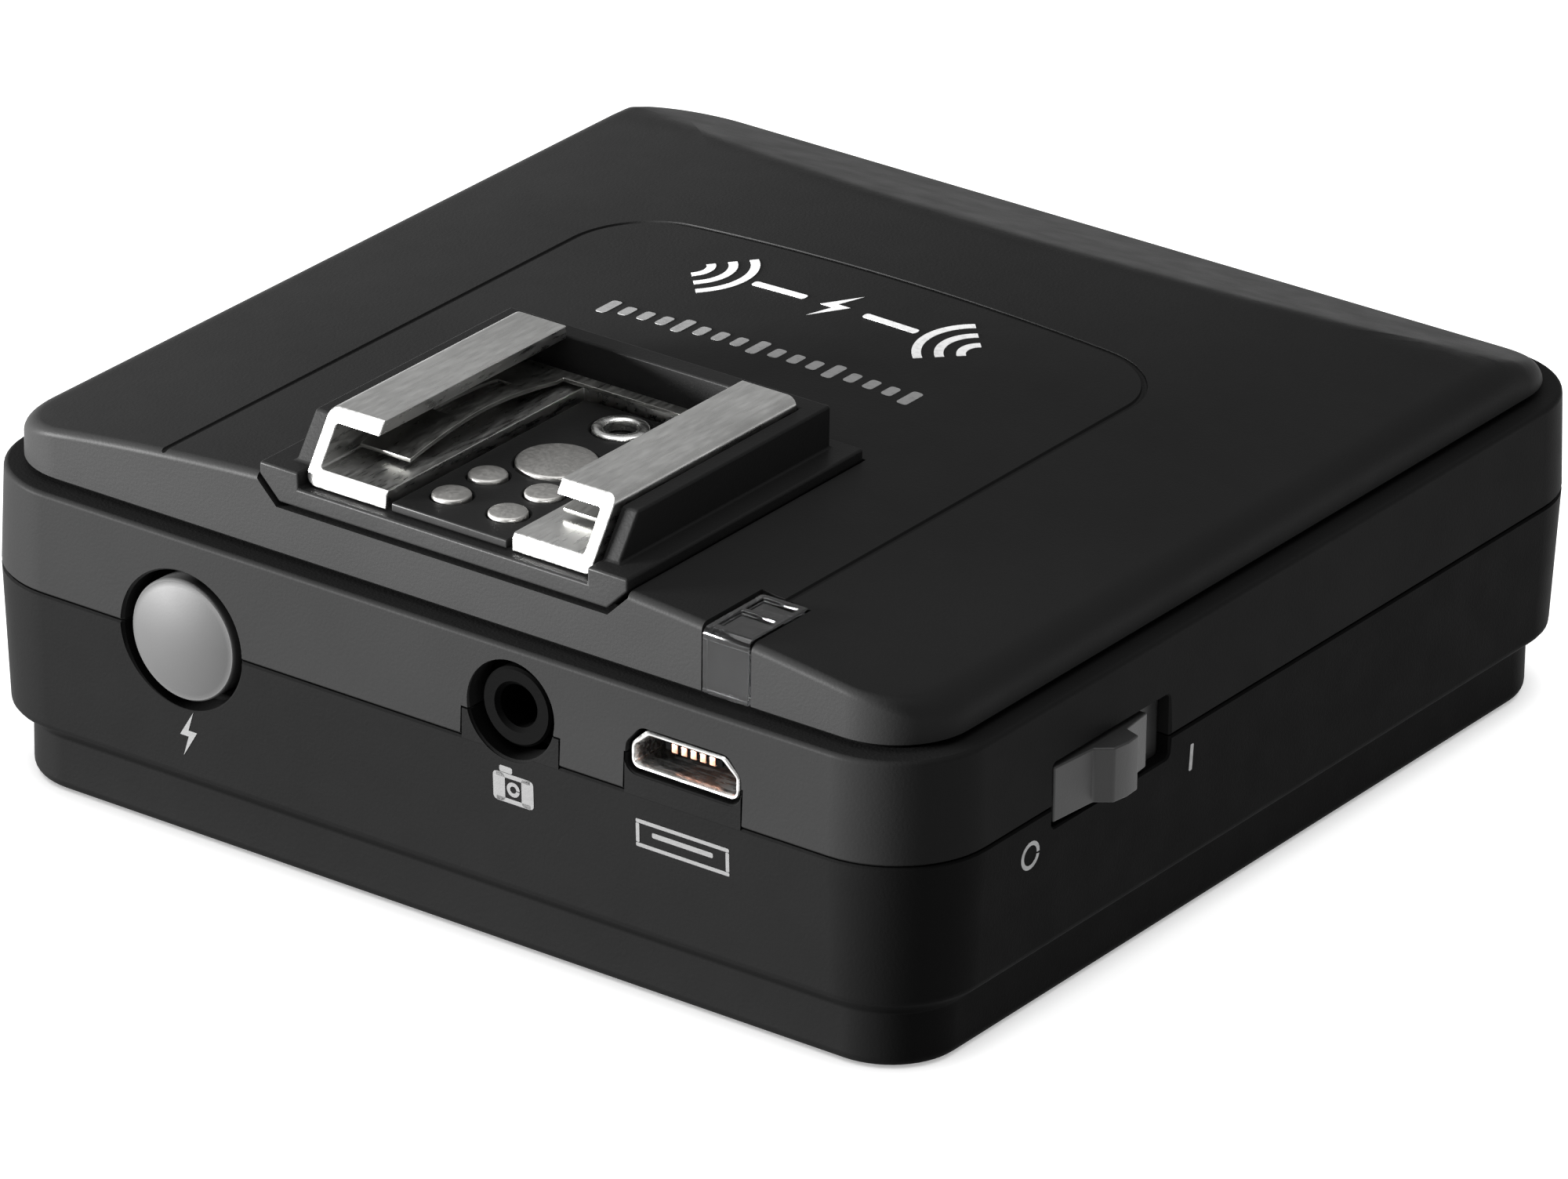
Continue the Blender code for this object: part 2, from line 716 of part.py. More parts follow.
# Hot shoe


def shoe_base():
    """The plastic plinth, with two cheeks and a stop wall round the metal channel."""
    chamfer = PLINTH_X - PLINTH_FOOT_X
    outline = [
        (-PLINTH_FOOT_X, PLINTH_BOTTOM_Z),
        (PLINTH_FOOT_X, PLINTH_BOTTOM_Z),
        (PLINTH_X, PLINTH_BOTTOM_Z + chamfer),
        (PLINTH_X, PLINTH_Z),
        (-PLINTH_X, PLINTH_Z),
        (-PLINTH_X, PLINTH_BOTTOM_Z + chamfer),
    ]
    base = prism("shoe_base", outline, PLINTH_FRONT_Y, PLINTH_BACK_Y, "Y")
    cheek = [
        (SHOE_FRONT_Y + 0.3, PLINTH_Z - 0.5),
        (CHEEK_BACK_Y, PLINTH_Z - 0.5),
        (CHEEK_BACK_Y, CHEEK_TOP_Z),
        (SHOE_LIP_FRONT_Y - 0.1, CHEEK_TOP_Z),
    ]
    fuse(base, prism("shoe_cheeks", cheek, -CHEEK_X, CHEEK_X, "X"))
    stop_x, stop_back = CHEEK_X - 0.4, CHEEK_BACK_Y - 0.3
    stop_low, stop_high = (-stop_x, SHOE_BACK_Y + 0.1, PLINTH_Z - 0.4), (stop_x, stop_back, STOP_TOP_Z)
    fuse(base, box("shoe_stop", stop_low, stop_high))
    clear = SHOE_OUTER_X + GAP
    low, high = (-clear, FRONT_Y - 5.0, BASE_FLOOR_Z), (clear, SHOE_BACK_Y + GAP, SHOE_TOP_Z + 1.0)
    cut(base, box("shoe_channel", low, high))
    fuse(base, box("shoe_pedestal", (-8.0, -30.0, LEDGE_Z + GAP), (8.0, -14.5, PLINTH_BOTTOM_Z + 0.4)))
    cut(base, box("pedestal_hollow", (-6.5, -28.5, LEDGE_Z - 1.0), (6.5, -16.0, PLINTH_BOTTOM_Z)))
    return base


def shoe_rails():
    """One bent sheet: a floor, two walls and two lips, with slanted front ends."""
    lip_z = SHOE_TOP_Z - SHOE_SHEET
    low, bend = SHOE_FLOOR_Z - SHOE_FLOOR_SHEET, 0.5
    right = [
        *arc((SHOE_OUTER_X - bend, low + bend), bend, -90, 0, 3),
        *arc((SHOE_OUTER_X - bend, SHOE_TOP_Z - bend), bend, 0, 90, 3),
        (LIP_INNER_X, SHOE_TOP_Z),
        (LIP_INNER_X, lip_z),
        (SHOE_INNER_X, lip_z),
        (SHOE_INNER_X, SHOE_FLOOR_Z),
    ]
    outline = right + [(-x, z) for x, z in reversed(right)]
    rails = prism("shoe_rails", outline, SHOE_FRONT_Y, SHOE_BACK_Y, "Y")
    slant = [
        (SHOE_FRONT_Y - 1.0, low + 0.8),
        (SHOE_FRONT_Y, low + 0.8),
        (SHOE_LIP_FRONT_Y, SHOE_TOP_Z + 0.5),
        (SHOE_FRONT_Y - 1.0, SHOE_TOP_Z + 0.5),
    ]
    cut(rails, prism("rail_slant", slant, -SHOE_OUTER_X - 1.0, SHOE_OUTER_X + 1.0, "X"))
    back = SHOE_BACK_Y - SHOE_BRIDGE
    start, end = (-SHOE_CUT_X, FRONT_Y - 1.0, low - 1.0), (SHOE_CUT_X, back, SHOE_FLOOR_Z + 1.0)
    return cut(rails, box("rail_opening", start, end))


def shoe_spring():
    """A leaf spring on the channel's floor: two arched arms, joined at the back."""
    rest, thick = SHOE_FLOOR_Z + GAP, 0.25
    front, back, rise = SHOE_LIP_FRONT_Y + 0.9, SHOE_BACK_Y - 0.5, 0.75
    upper, lower = [], []
    for i in range(11):
        share = i / 10
        y = front + (back - front) * share
        lift = rise * math.sin(math.pi * min(1.0, share * 1.1)) if share < 0.91 else 0.0
        upper.append((y, rest + thick + lift))
        lower.append((y, rest + lift))
    reach = SHOE_INNER_X - GAP
    spring = prism("shoe_spring", lower + upper[::-1], -reach, reach, "X")
    gap = ((-5.4, front - 1.0, rest - 1.0), (5.4, back - 0.9, rest + 3.0))
    return cut(spring, box("spring_gap", *gap))


def data_contact_places():
    return [(sx * DATA_CONTACT_X, y) for y in DATA_CONTACT_YS for sx in (-1, 1)]


def contact_block():
    back = SHOE_BACK_Y - SHOE_BRIDGE - GAP
    low = BASE_FLOOR_Z + GAP
    block = box("contact_block", (-BLOCK_X, SHOE_FRONT_Y, low), (BLOCK_X, back, BLOCK_TOP_Z))
    clear, start = 0.2, low - 1.0
    data_wells = [(x, y, start) for x, y in data_contact_places()]
    cut(block, cylinders("data_wells", data_wells, "Z", 3.0, DATA_CONTACT_R + clear, 16))
    centre, ring = (0, CENTRE_CONTACT_Y, start), (0, LOCK_RING_Y, start)
    cut(block, cylinder("centre_well", centre, "Z", 3.0, CENTRE_CONTACT_R + clear, 28))
    cut(block, cylinder("lock_well", ring, "Z", 3.0, LOCK_RING_R + clear, 20))
    return block


def shoe_contact(name, place, radius, sides):
    """A contact button with a slightly domed face."""
    profile = [
        (0, CONTACT_TOP_Z),
        (radius * 0.6, CONTACT_TOP_Z - 0.04),
        (radius, CONTACT_TOP_Z - 0.25),
        (radius, BASE_FLOOR_Z + GAP),
        (0, BASE_FLOOR_Z + GAP),
    ]
    shifted = [(r, z - CONTACT_TOP_Z) for r, z in profile]
    return turned(name, shifted, (*place, CONTACT_TOP_Z), sides=sides)


def lock_ring():
    """The metal lining of the locking-pin hole."""
    depth = BLOCK_TOP_Z - BASE_FLOOR_Z - GAP
    profile = [
        (LOCK_HOLE_R, 0.15),
        (LOCK_RING_R, 0.1),
        (LOCK_RING_R, -depth),
        (LOCK_HOLE_R, -depth),
        (LOCK_HOLE_R, 0.15),
    ]
    return turned("lock_ring", profile, (0, LOCK_RING_Y, BLOCK_TOP_Z), sides=20)


def shoe_ribbon():
    """The flat cable from the shoe's contacts down to the board."""
    y, thick, foot = -20.0, 0.3, BOARD_TOP_Z + GAP
    outline = [
        (y, 22.2),
        (y, foot + thick),
        (y + 3.5, foot + thick),
        (y + 3.5, foot),
        (y - thick, foot),
        (y - thick, 22.2),
    ]
    return prism("shoe_ribbon", outline, -3.5, 3.5, "X")


# Controls


def button_cap():
    """The test button: a domed cap with a flange behind the wall."""
    face_y, rear_y = FRONT_Y - BUTTON_PROUD, FRONT_Y + WALL + 1.4
    depth = rear_y - face_y
    turns = (0.0, 0.35, 0.7, 1.0, 1.25, 1.4)
    rear = BUTTON_DOME - depth
    profile = [
        *[(BUTTON_R * math.sin(t), BUTTON_DOME * math.cos(t)) for t in turns],
        (BUTTON_R, -0.1),
        (BUTTON_R, rear + 1.0),
        (BUTTON_FLANGE_R, rear + 1.0),
        (BUTTON_FLANGE_R, rear),
        (0, rear),
    ]
    cap = turned("button_cap", profile, (BUTTON_X, face_y + BUTTON_DOME, BUTTON_Z), sides=36)
    cap.rotation_euler = (math.pi / 2, 0, 0)
    return cap


def switch_knob():
    """The power switch's slider: a ridged grip on a plate that keeps the window shut."""
    outer = HALF_X - WINDOW_WALL - GAP
    inner = outer - 0.8
    front, back = KNOB_Y - KNOB_LENGTH / 2, KNOB_Y + KNOB_LENGTH / 2
    ridge_y = KNOB_Y + KNOB_RIDGE_SHIFT
    outline = [
        (inner, front - KEEPER_REACH),
        (outer, front - KEEPER_REACH),
        (outer, front),
        (HALF_X - 0.1, front),
        (HALF_X + KNOB_FLAT_PROUD, ridge_y - KNOB_RIDGE_FOOT / 2),
        (HALF_X + KNOB_PROUD, ridge_y - KNOB_RIDGE / 2),
        (HALF_X + KNOB_PROUD, ridge_y + KNOB_RIDGE / 2),
        (HALF_X + KNOB_FLAT_PROUD, ridge_y + KNOB_RIDGE_FOOT / 2),
        (HALF_X - 0.1, back),
        (outer, back),
        (outer, back + KEEPER_REACH),
        (inner, back + KEEPER_REACH),
    ]
    knob = prism("switch_knob", outline, WINDOW_Z - KNOB_HALF_Z, WINDOW_Z + KNOB_HALF_Z)
    low, high = WINDOW_Z - 2.6, WINDOW_Z + 2.6
    keeper = box("knob_keeper", (inner, front - KEEPER_REACH, low), (outer, back + KEEPER_REACH, high))
    fuse(knob, keeper)
    fork_x = HALF_X - WALL - 2.2
    places = (KNOB_Y - 1.4, KNOB_Y + 1.4)
    forks = [((fork_x, y - 0.4, LEVER_Z - 0.8), (inner + 0.3, y + 0.4, LEVER_Z + 0.6)) for y in places]
    fuse(knob, boxes("knob_fork", *forks))
    return set_origin_after(knob, (HALF_X, KNOB_Y, WINDOW_Z))


def slide_switch():
    middle = KNOB_Y + SWITCH_TRAVEL / 2
    top = BOARD_BOTTOM_Z - GAP
    body = box("slide_switch", (24.9, middle - 4.3, top - 3.3), (28.2, middle + 4.3, top))
    slot = ((26.4, middle - 2.1, top - 1.4), (29.0, middle + 2.1, top + 1.0))
    return cut(body, box("lever_slot", *slot))


def switch_lever():
    low, tip = LEVER_Z - 0.4, HALF_X - WALL - 1.4
    lever = box("switch_lever", (26.9, KNOB_Y - 0.6, low), (tip, KNOB_Y + 0.6, low + 0.8))
    return set_origin(lever, (tip, KNOB_Y, low + 0.4))


def test_switch():
    low, half = BOARD_TOP_Z + GAP, 3.0
    body = box("test_switch", (BUTTON_X - half, -28.8, low), (BUTTON_X + half, -25.3, low + 3.5))
    start = (BUTTON_X, -29.8, low + 1.7)
    return cut(body, cylinder("plunger_bore", start, "Y", 2.9, 1.3, 16))


def button_plunger():
    start = (BUTTON_X, -31.2, BOARD_TOP_Z + GAP + 1.7)
    return set_origin(cylinder("button_plunger", start, "Y", 3.2, 1.0, 16), start)


# Sockets and light pipe


def jack_socket():
    front, back = FRONT_Y + WALL + GAP, -21.0
    low, high = (JACK_X - 2.5, front, JACK_Z - 2.3), (JACK_X + 2.5, back, JACK_Z + 2.3)
    body = box("jack_socket", low, high)
    fuse(body, cylinder("jack_collar", (JACK_X, front - 1.5, JACK_Z), "Y", 1.6, JACK_COLLAR_R, 28))
    return cut(body, cylinder("jack_bore", (JACK_X, front - 2.0, JACK_Z), "Y", 11.0, JACK_BORE_R, 20))


def usb_shell():
    """The socket's sheet-metal shell, with a flared rim at its mouth."""
    front = FRONT_Y + 0.25
    inner = usb_outline(-USB_SHEET)
    shell = prism("usb_shell", usb_outline(0.0), front + 0.1, front + 4.9, "Y", holes=(inner,))
    rim = prism("usb_rim", usb_outline(USB_SHEET), front, front + 0.4, "Y", holes=(usb_outline(-0.1),))
    return fuse(shell, rim)


def usb_tongue():
    """The insulator: a blade with contacts above it, on a block that closes the shell's back."""
    front, blade = FRONT_Y + 1.1, 1.9
    rise = USB_HALF_Z - USB_SHEET - GAP
    low, high = USB_Z - rise, USB_Z + rise
    blade_low, blade_high = (USB_X - blade, front, low + 0.6), (USB_X + blade, front + 3.4, low + 1.0)
    tongue = box("usb_tongue", blade_low, blade_high)
    reach = blade + 0.05
    block = box("tongue_block", (USB_X - reach, front + 3.0, low), (USB_X + reach, front + 3.8, high))
    return fuse(tongue, block)


def light_pipe():
    """A clear angle piece over the cover's front edge, with a leg that stands above the LED."""
    top = deck_height(PIPE_X, PIPE_BACK_Y)
    front, thick, nose = -COVER_Y - 0.1, 1.0, 0.6
    outline = [
        (front, PIPE_BOTTOM_Z),
        (front + thick, PIPE_BOTTOM_Z),
        (front + thick, top - thick),
        (PIPE_BACK_Y, top - thick),
        (PIPE_BACK_Y, top),
        *arc((front + nose, top - nose), nose, 90, 180, 4),
    ]
    half = PIPE_WIDTH / 2
    pipe = prism("light_pipe", outline, PIPE_X - half, PIPE_X + half, "X")
    foot, head = BOARD_TOP_Z + 1.4, top - thick + 0.3
    leg = box("pipe_leg", (PIPE_X - 1.0, PIPE_BACK_Y - 0.8, foot), (PIPE_X + 1.0, PIPE_BACK_Y, head))
    return fuse(pipe, leg)


# Electronics


def main_board():
    """The board, notched for the jack, the test button and the two front bosses."""
    start, end = (-BOARD_X, BOARD_FRONT_Y, BOARD_BOTTOM_Z), (BOARD_X, BOARD_BACK_Y, BOARD_TOP_Z)
    board = box("main_board", start, end)
    notch_x, notch_y = SCREW_X - BOSS_R - 0.5, BOSS_R + 0.5 - SCREW_Y
    spans = (
        (-40.0, -notch_x, notch_y),
        (BUTTON_X - 5.4, BUTTON_X + 5.4, -30.4),
        (JACK_X - 2.8, JACK_X + 2.8, -20.7),
        (notch_x, 40.0, notch_y),
    )
    front, low, high = BOARD_FRONT_Y - 1.0, BOARD_BOTTOM_Z - 1.0, BOARD_TOP_Z + 1.0
    notches = [((left, front, low), (right, back, high)) for left, right, back in spans]
    return cut(board, boxes("board_notches", *notches))


def radio_module():
    low = BOARD_TOP_Z + GAP
    return box("radio_module", (-25.0, -19.5, low), (-9.0, -3.5, low + 0.8))


def radio_shield():
    """A pressed can, open below, over the radio's chips."""
    low, sheet = BOARD_TOP_Z + GAP + 0.8 + GAP, 0.2
    can = soften(box("radio_shield", (-24.0, -18.5, low), (-12.5, -4.5, low + 2.0)), 0.3)
    hollow = (-24.0 + sheet, -18.5 + sheet, low - 1.0), (-12.5 - sheet, -4.5 - sheet, low + 2.0 - sheet)
    return cut(can, box("shield_hollow", *hollow))


def antenna():
    """A whip of bare wire behind the radio module, then forward along the left side."""
    z, x, y = BOARD_TOP_Z + 2.2, -28.6, -2.0
    plan = [(-10.2, y), (-14.0, y), (-26.0, y), (-28.0, y - 0.8), (x, y - 3.0), (x, -14.0), (x, -23.0)]
    return wire("antenna", [(px, py, z) for px, py in plan], 0.35)


def processor():
    low = BOARD_TOP_Z + GAP
    return box("processor", (12.0, -15.0, low), (19.0, -8.0, low + 1.0))


def status_led():
    low, half = BOARD_TOP_Z + GAP, 0.8
    start, end = (PIPE_X - half, PIPE_BACK_Y - 0.8, low), (PIPE_X + half, PIPE_BACK_Y, low + 0.7)
    return box("status_led", start, end)


# Battery bay


def cell(name, y, nub_side):
    """A round cell lying along X, its positive nub to one side."""
    half = CELL_LENGTH / 2
    profile = [
        (0, half + CELL_NUB),
        (CELL_NUB_R, half + CELL_NUB),
        (CELL_NUB_R, half),
        (CELL_R - 0.5, half),
        (CELL_R, half - 0.5),
        (CELL_R, -half + 0.3),
        (CELL_R - 0.3, -half),
        (0, -half),
    ]
    made = turned(name, profile, (-nub_side * CELL_SHIFT, y, CELL_Z), "X", 28)
    if nub_side < 0:
        made.rotation_euler = (0, -math.pi / 2, 0)
    return made


def contact_plate(name, side, y_low, y_high):
    """A spring-steel contact on one end wall of the bay."""
    xs = sorted((side * (BAY_X - GAP), side * CONTACT_FACE_X))
    plate = box(name, (xs[0], y_low, CELL_Z - 4.5), (xs[1], y_high, CELL_Z + 4.5))
    return set_origin(plate, (xs[0], (y_low + y_high) / 2, CELL_Z))


def coil_spring(name, side, y):
    """A flat conical coil between a contact plate and a cell's negative end."""
    turns, steps = 2.5, 12
    wire_r = 0.22
    start = CONTACT_FACE_X - GAP - wire_r
    end = CELL_LENGTH / 2 + CELL_SHIFT + GAP + wire_r
    points = []
    for i in range(int(turns * steps) + 1):
        share = i / (turns * steps)
        turn = 2 * math.pi * turns * share
        radius = 4.2 - 2.2 * share
        x = start + (end - start) * share
        points.append((side * x, y + radius * math.cos(turn), CELL_Z + radius * math.sin(turn)))
    return wire(name, points, wire_r)


# Fasteners


def case_screw(name, x, y):
    """A pan-head screw from below, with a cross recess."""
    profile = [
        (0, 16.4),
        (0.45, 16.4),
        (0.9, 15.4),
        (0.9, 1.7),
        (1.7, 1.7),
        (1.7, 0.9),
        (1.3, 0.5),
        (0, 0.5),
    ]
    screw = turned(name, profile, (x, y, 0), sides=14)
    cross = box(name + "_slot", (x - 1.0, y - 0.2, -0.5), (x + 1.0, y + 0.2, 1.0))
    cross_2 = box(name + "_cross", (x - 0.2, y - 1.0, -0.5), (x + 0.2, y + 1.0, 1.0))
    return cut(screw, cross, cross_2)


def tripod_insert():
    """A brass insert with a blind 1/4-inch hole, open downwards."""
    profile = [
        (0, INSERT_TOP_Z),
        (INSERT_R, INSERT_TOP_Z),
        (INSERT_R, 0.3),
        (INSERT_THREAD_R + 0.3, 0.3),
        (INSERT_THREAD_R, 0.6),
        (INSERT_THREAD_R, INSERT_TOP_Z - 0.8),
        (0, INSERT_TOP_Z - 0.8),
    ]
    return turned("tripod_insert", profile, (0, INSERT_Y, 0), sides=28)


# Assembly


def build_casing(looks):
    casing = group("casing", (0, 0, 0))
    finish(top_cover(), casing, looks["black"])
    finish(upper_shell(), casing, looks["black"])
    finish(lower_shell(), casing, looks["black"])
    finish(battery_door(), casing, looks["black"])
    finish(light_pipe(), casing, looks["clear"])
    finish(tripod_insert(), casing, looks["brass"])
    for i, (x, y, _) in enumerate(boss_places(0)):
        finish(case_screw(f"case_screw_{i + 1}", x, y), casing, looks["steel"])


def build_shoe(looks):
    shoe = group("shoe", (0, CENTRE_CONTACT_Y, SHOE_FLOOR_Z))
    finish(shoe_base(), shoe, looks["black"])
    finish(shoe_rails(), shoe, looks["steel"])
    finish(shoe_spring(), shoe, looks["steel"])
    finish(contact_block(), shoe, looks["insulator"])
    centre = shoe_contact("centre_contact", (0, CENTRE_CONTACT_Y), CENTRE_CONTACT_R, 28)
    finish(centre, shoe, looks["steel"])
    for i, place in enumerate(data_contact_places()):
        contact = shoe_contact(f"data_contact_{i + 1}", place, DATA_CONTACT_R, 18)
        finish(contact, shoe, looks["steel"])
    finish(lock_ring(), shoe, looks["steel"])
    finish(shoe_ribbon(), shoe, looks["ribbon"])


def build_controls(looks):
    press = group("test_button_axis", (BUTTON_X, FRONT_Y, BUTTON_Z))
    finish(button_cap(), press, looks["grey"])
    finish(button_plunger(), press, looks["insulator"])
    slider = group("power_switch_axis", (HALF_X, KNOB_Y, WINDOW_Z))
    finish(switch_knob(), slider, looks["switch_grey"])
    finish(switch_lever(), slider, looks["insulator"])


def build_electronics(looks):
    board = group("board", (0, BOARD_BACK_Y, BOARD_TOP_Z))
    finish(main_board(), board, looks["board"])
    finish(radio_module(), board, looks["board"])
    finish(radio_shield(), board, looks["steel"])
    finish(processor(), board, looks["insulator"])
    finish(antenna(), board, looks["copper"])
    finish(status_led(), board, looks["clear"])
    finish(test_switch(), board, looks["insulator"])
    finish(slide_switch(), board, looks["steel"])
    finish(jack_socket(), board, looks["insulator"])
    finish(usb_shell(), board, looks["steel"])
    finish(usb_tongue(), board, looks["copper"])


def build_power(looks):
    bay = group("battery_bay", (0, CELL_YS[0], CELL_Z))
    front_y, rear_y = CELL_YS
    finish(cell("cell_front", front_y, 1), bay, looks["cell"])
    finish(cell("cell_rear", rear_y, -1), bay, looks["cell"])
    finish(contact_plate("negative_contact", -1, front_y - 5, front_y + 5), bay, looks["steel"])
    finish(contact_plate("positive_contact", -1, rear_y - 4.5, rear_y + 2.3), bay, looks["steel"])
    finish(contact_plate("bridge_contact", 1, front_y - 5, rear_y + 2.3), bay, looks["steel"])
    finish(coil_spring("negative_spring", -1, front_y), bay, looks["steel"])
    finish(coil_spring("bridge_spring", 1, rear_y), bay, looks["steel"])


def build():
    looks = {
        "black": material("black_plastic", (0.017, 0.017, 0.018), 0.55),
        "insulator": material("black_insulator", (0.01, 0.01, 0.01), 0.45),
        "grey": material("button_grey", (0.36, 0.36, 0.36), 0.4),
        "switch_grey": material("switch_grey", (0.1, 0.1, 0.1), 0.5),
        "steel": material("bright_steel", (0.6, 0.6, 0.6), 0.28, 1.0),
        "brass": material("brass", (0.7, 0.5, 0.2), 0.35, 1.0),
        "copper": material("copper", (0.7, 0.35, 0.18), 0.35, 1.0),
        "clear": material("clear_plastic", (0.85, 0.87, 0.88), 0.1, 0.0, 0.5),
        "board": material("board_green", (0.02, 0.1, 0.05), 0.5),
        "ribbon": material("ribbon_amber", (0.35, 0.15, 0.03), 0.5),
        "cell": material("cell_wrap", (0.12, 0.13, 0.15), 0.35),
    }
    build_casing(looks)
    build_shoe(looks)
    build_controls(looks)
    build_electronics(looks)
    build_power(looks)


build()
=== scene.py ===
"""Looks of the wireless flash trigger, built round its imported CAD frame.

Every piece is made here in millimetres, in the frame's own axes: X to the right along the
front face, Y to the back, Z up, with the origin in the middle of the underside. Sizes that
the frame knows are read from it; the rest are named below.
"""

from math import asin, cos, pi, radians, sin, tan

import bmesh
import bpy
from mathutils import Matrix, Vector


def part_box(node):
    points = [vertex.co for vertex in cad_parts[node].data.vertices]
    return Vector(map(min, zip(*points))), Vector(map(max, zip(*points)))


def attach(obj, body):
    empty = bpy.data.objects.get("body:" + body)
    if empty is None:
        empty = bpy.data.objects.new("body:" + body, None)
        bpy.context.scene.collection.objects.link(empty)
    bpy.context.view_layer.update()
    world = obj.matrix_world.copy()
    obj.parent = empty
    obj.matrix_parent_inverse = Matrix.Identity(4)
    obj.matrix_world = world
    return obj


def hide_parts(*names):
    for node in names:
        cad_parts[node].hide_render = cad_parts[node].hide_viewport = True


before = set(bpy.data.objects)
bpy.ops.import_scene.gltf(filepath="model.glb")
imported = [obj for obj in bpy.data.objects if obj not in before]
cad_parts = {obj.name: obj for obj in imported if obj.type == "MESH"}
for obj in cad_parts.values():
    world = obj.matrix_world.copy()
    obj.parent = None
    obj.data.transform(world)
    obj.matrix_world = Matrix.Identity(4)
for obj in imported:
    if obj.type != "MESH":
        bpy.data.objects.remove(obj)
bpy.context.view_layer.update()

MM = 0.001
GAP = 0.3


def span(node):
    """Lowest and highest corner of a CAD node, in millimetres."""
    low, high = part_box(node)
    return low / MM, high / MM


# Sizes read from the frame

UPPER_LOW, UPPER_HIGH = span("upper_shell")
COVER_LOW, COVER_HIGH = span("top_cover")
DOOR_LOW, DOOR_HIGH = span("battery_door")
RAIL_LOW, RAIL_HIGH = span("shoe_rails")
BASE_LOW, BASE_HIGH = span("shoe_base")
BLOCK_LOW, BLOCK_HIGH = span("contact_block")
SPRING_LOW, SPRING_HIGH = span("shoe_spring")
CAP_LOW, CAP_HIGH = span("button_cap")
KNOB_LOW, KNOB_HIGH = span("switch_knob")
PIPE_LOW, PIPE_HIGH = span("light_pipe")
JACK_LOW, JACK_HIGH = span("jack_socket")
USB_LOW, USB_HIGH = span("usb_shell")
TONGUE_LOW, TONGUE_HIGH = span("usb_tongue")
INSERT_LOW, INSERT_HIGH = span("tripod_insert")

HALF_X = UPPER_HIGH.x
HALF_Y = UPPER_HIGH.y
FRONT_Y = -HALF_Y
LEDGE_Z = UPPER_HIGH.z
PARTING_Z = UPPER_LOW.z - GAP / 2
COVER_X = COVER_HIGH.x
COVER_Y = COVER_HIGH.y
CROWN_Z = COVER_HIGH.z

# Case, as in the part's design

CORNER_R = 6.3
WALL = 1.8
FLOOR = 1.8
STEP_Z = 4.6
SKIRT_TOP_Z = 3.5
SKIRT_INSET = 1.7
BASE_FILLET = 0.7
LOWER_DRAFT = 0.4
UPPER_DRAFT = 0.2
SEAM = 0.1
SEAM_CHAMFER = 0.12
LEDGE_FILLET = 0.3
LEDGE_THICK = 1.2
CORNER_STEPS = 14

# Top cover

COVER_R = CORNER_R - (HALF_X - COVER_X)
COVER_SKIN = 1.4
COVER_FOOT = 0.5
# Inset and width of the near-black strip under the cover's edge, which is painted shade for the shadow line
# there.
SHADE_STRIP_INSET = 0.7
SHADE_STRIP_WIDTH = 1.0
CROWN_RADIUS = 208.0
REAR_EDGE_Z = 20.25
REAR_SLOPE = radians(19.8)
CREASE_BLEND = 0.3
SIDE_FILLET = 1.5
FRONT_FILLET = 0.5
REAR_FILLET = 0.3
GROOVE_X = 20.0
GROOVE_BACK_Y = 10.4
GROOVE_CORNER_R = 4.8
GROOVE_R = 0.2

# Hot shoe

SHOE_SHEET = 0.8
SHOE_FLOOR_Z = RAIL_LOW.z + 1.1
SHOE_INNER_X = RAIL_HIGH.x - SHOE_SHEET
LIP_INNER_X = 6.25
LIP_FRONT_Y = -29.95
SHOE_CUT_X = 4.45
SHOE_BRIDGE = 0.7
PLINTH_FOOT_X = 11.6
PLINTH_Z = 25.3
PLINTH_BOTTOM_Z = 23.15
CHEEK_TOP_Z = 27.9
CHEEK_X = 11.4
CHEEK_BACK_Y = -11.9
RIVET_PLACES = ((-6.9, -25.6), (6.9, -25.6))
DATA_CONTACTS = [f"data_contact_{i}" for i in (1, 2, 3, 4)]
LOCK_HOLE_R = 1.0

# Front and right faces

BUTTON_X = (CAP_LOW.x + CAP_HIGH.x) / 2
BUTTON_Z = (CAP_LOW.z + CAP_HIGH.z) / 2
BUTTON_R = 3.75
BUTTON_HOLE_R = 4.3
BUTTON_DOME = 0.6
JACK_X = (JACK_LOW.x + JACK_HIGH.x) / 2
JACK_Z = 15.8
JACK_RECESS_R = 3.0
JACK_COLLAR_R = 2.4
JACK_BORE_R = 1.3
JACK_TAB_X = 3.4
JACK_TAB_TOP_Z = 15.0
USB_X = (USB_LOW.x + USB_HIGH.x) / 2
USB_Z = (USB_LOW.z + USB_HIGH.z) / 2
USB_HALF_X = 3.6
USB_HALF_Z = 1.1
USB_SHEET = 0.25
USB_TAB_X = 4.0
USB_TAB_TOP_Z = USB_Z - 0.4
WINDOW_FRONT_Y = -22.0
WINDOW_BACK_Y = -10.5
KEEPER_HALF_Z = 2.6
WINDOW_Z = KNOB_HIGH.z - KEEPER_HALF_Z
WINDOW_HALF_Z = 2.0
WINDOW_WALL = 0.9
KNOB_HALF_Z = 1.7
KNOB_LENGTH = 9.0
KNOB_RIDGE = 2.2
KNOB_RIDGE_FOOT = 3.6
KNOB_RIDGE_SHIFT = 0.7
KNOB_FLAT_PROUD = 0.2
KNOB_TRAVEL = 2.1
KEEPER_REACH = 2.8
PIPE_X = (PIPE_LOW.x + PIPE_HIGH.x) / 2
PIPE_THICK = 1.0

# Underside and battery bay

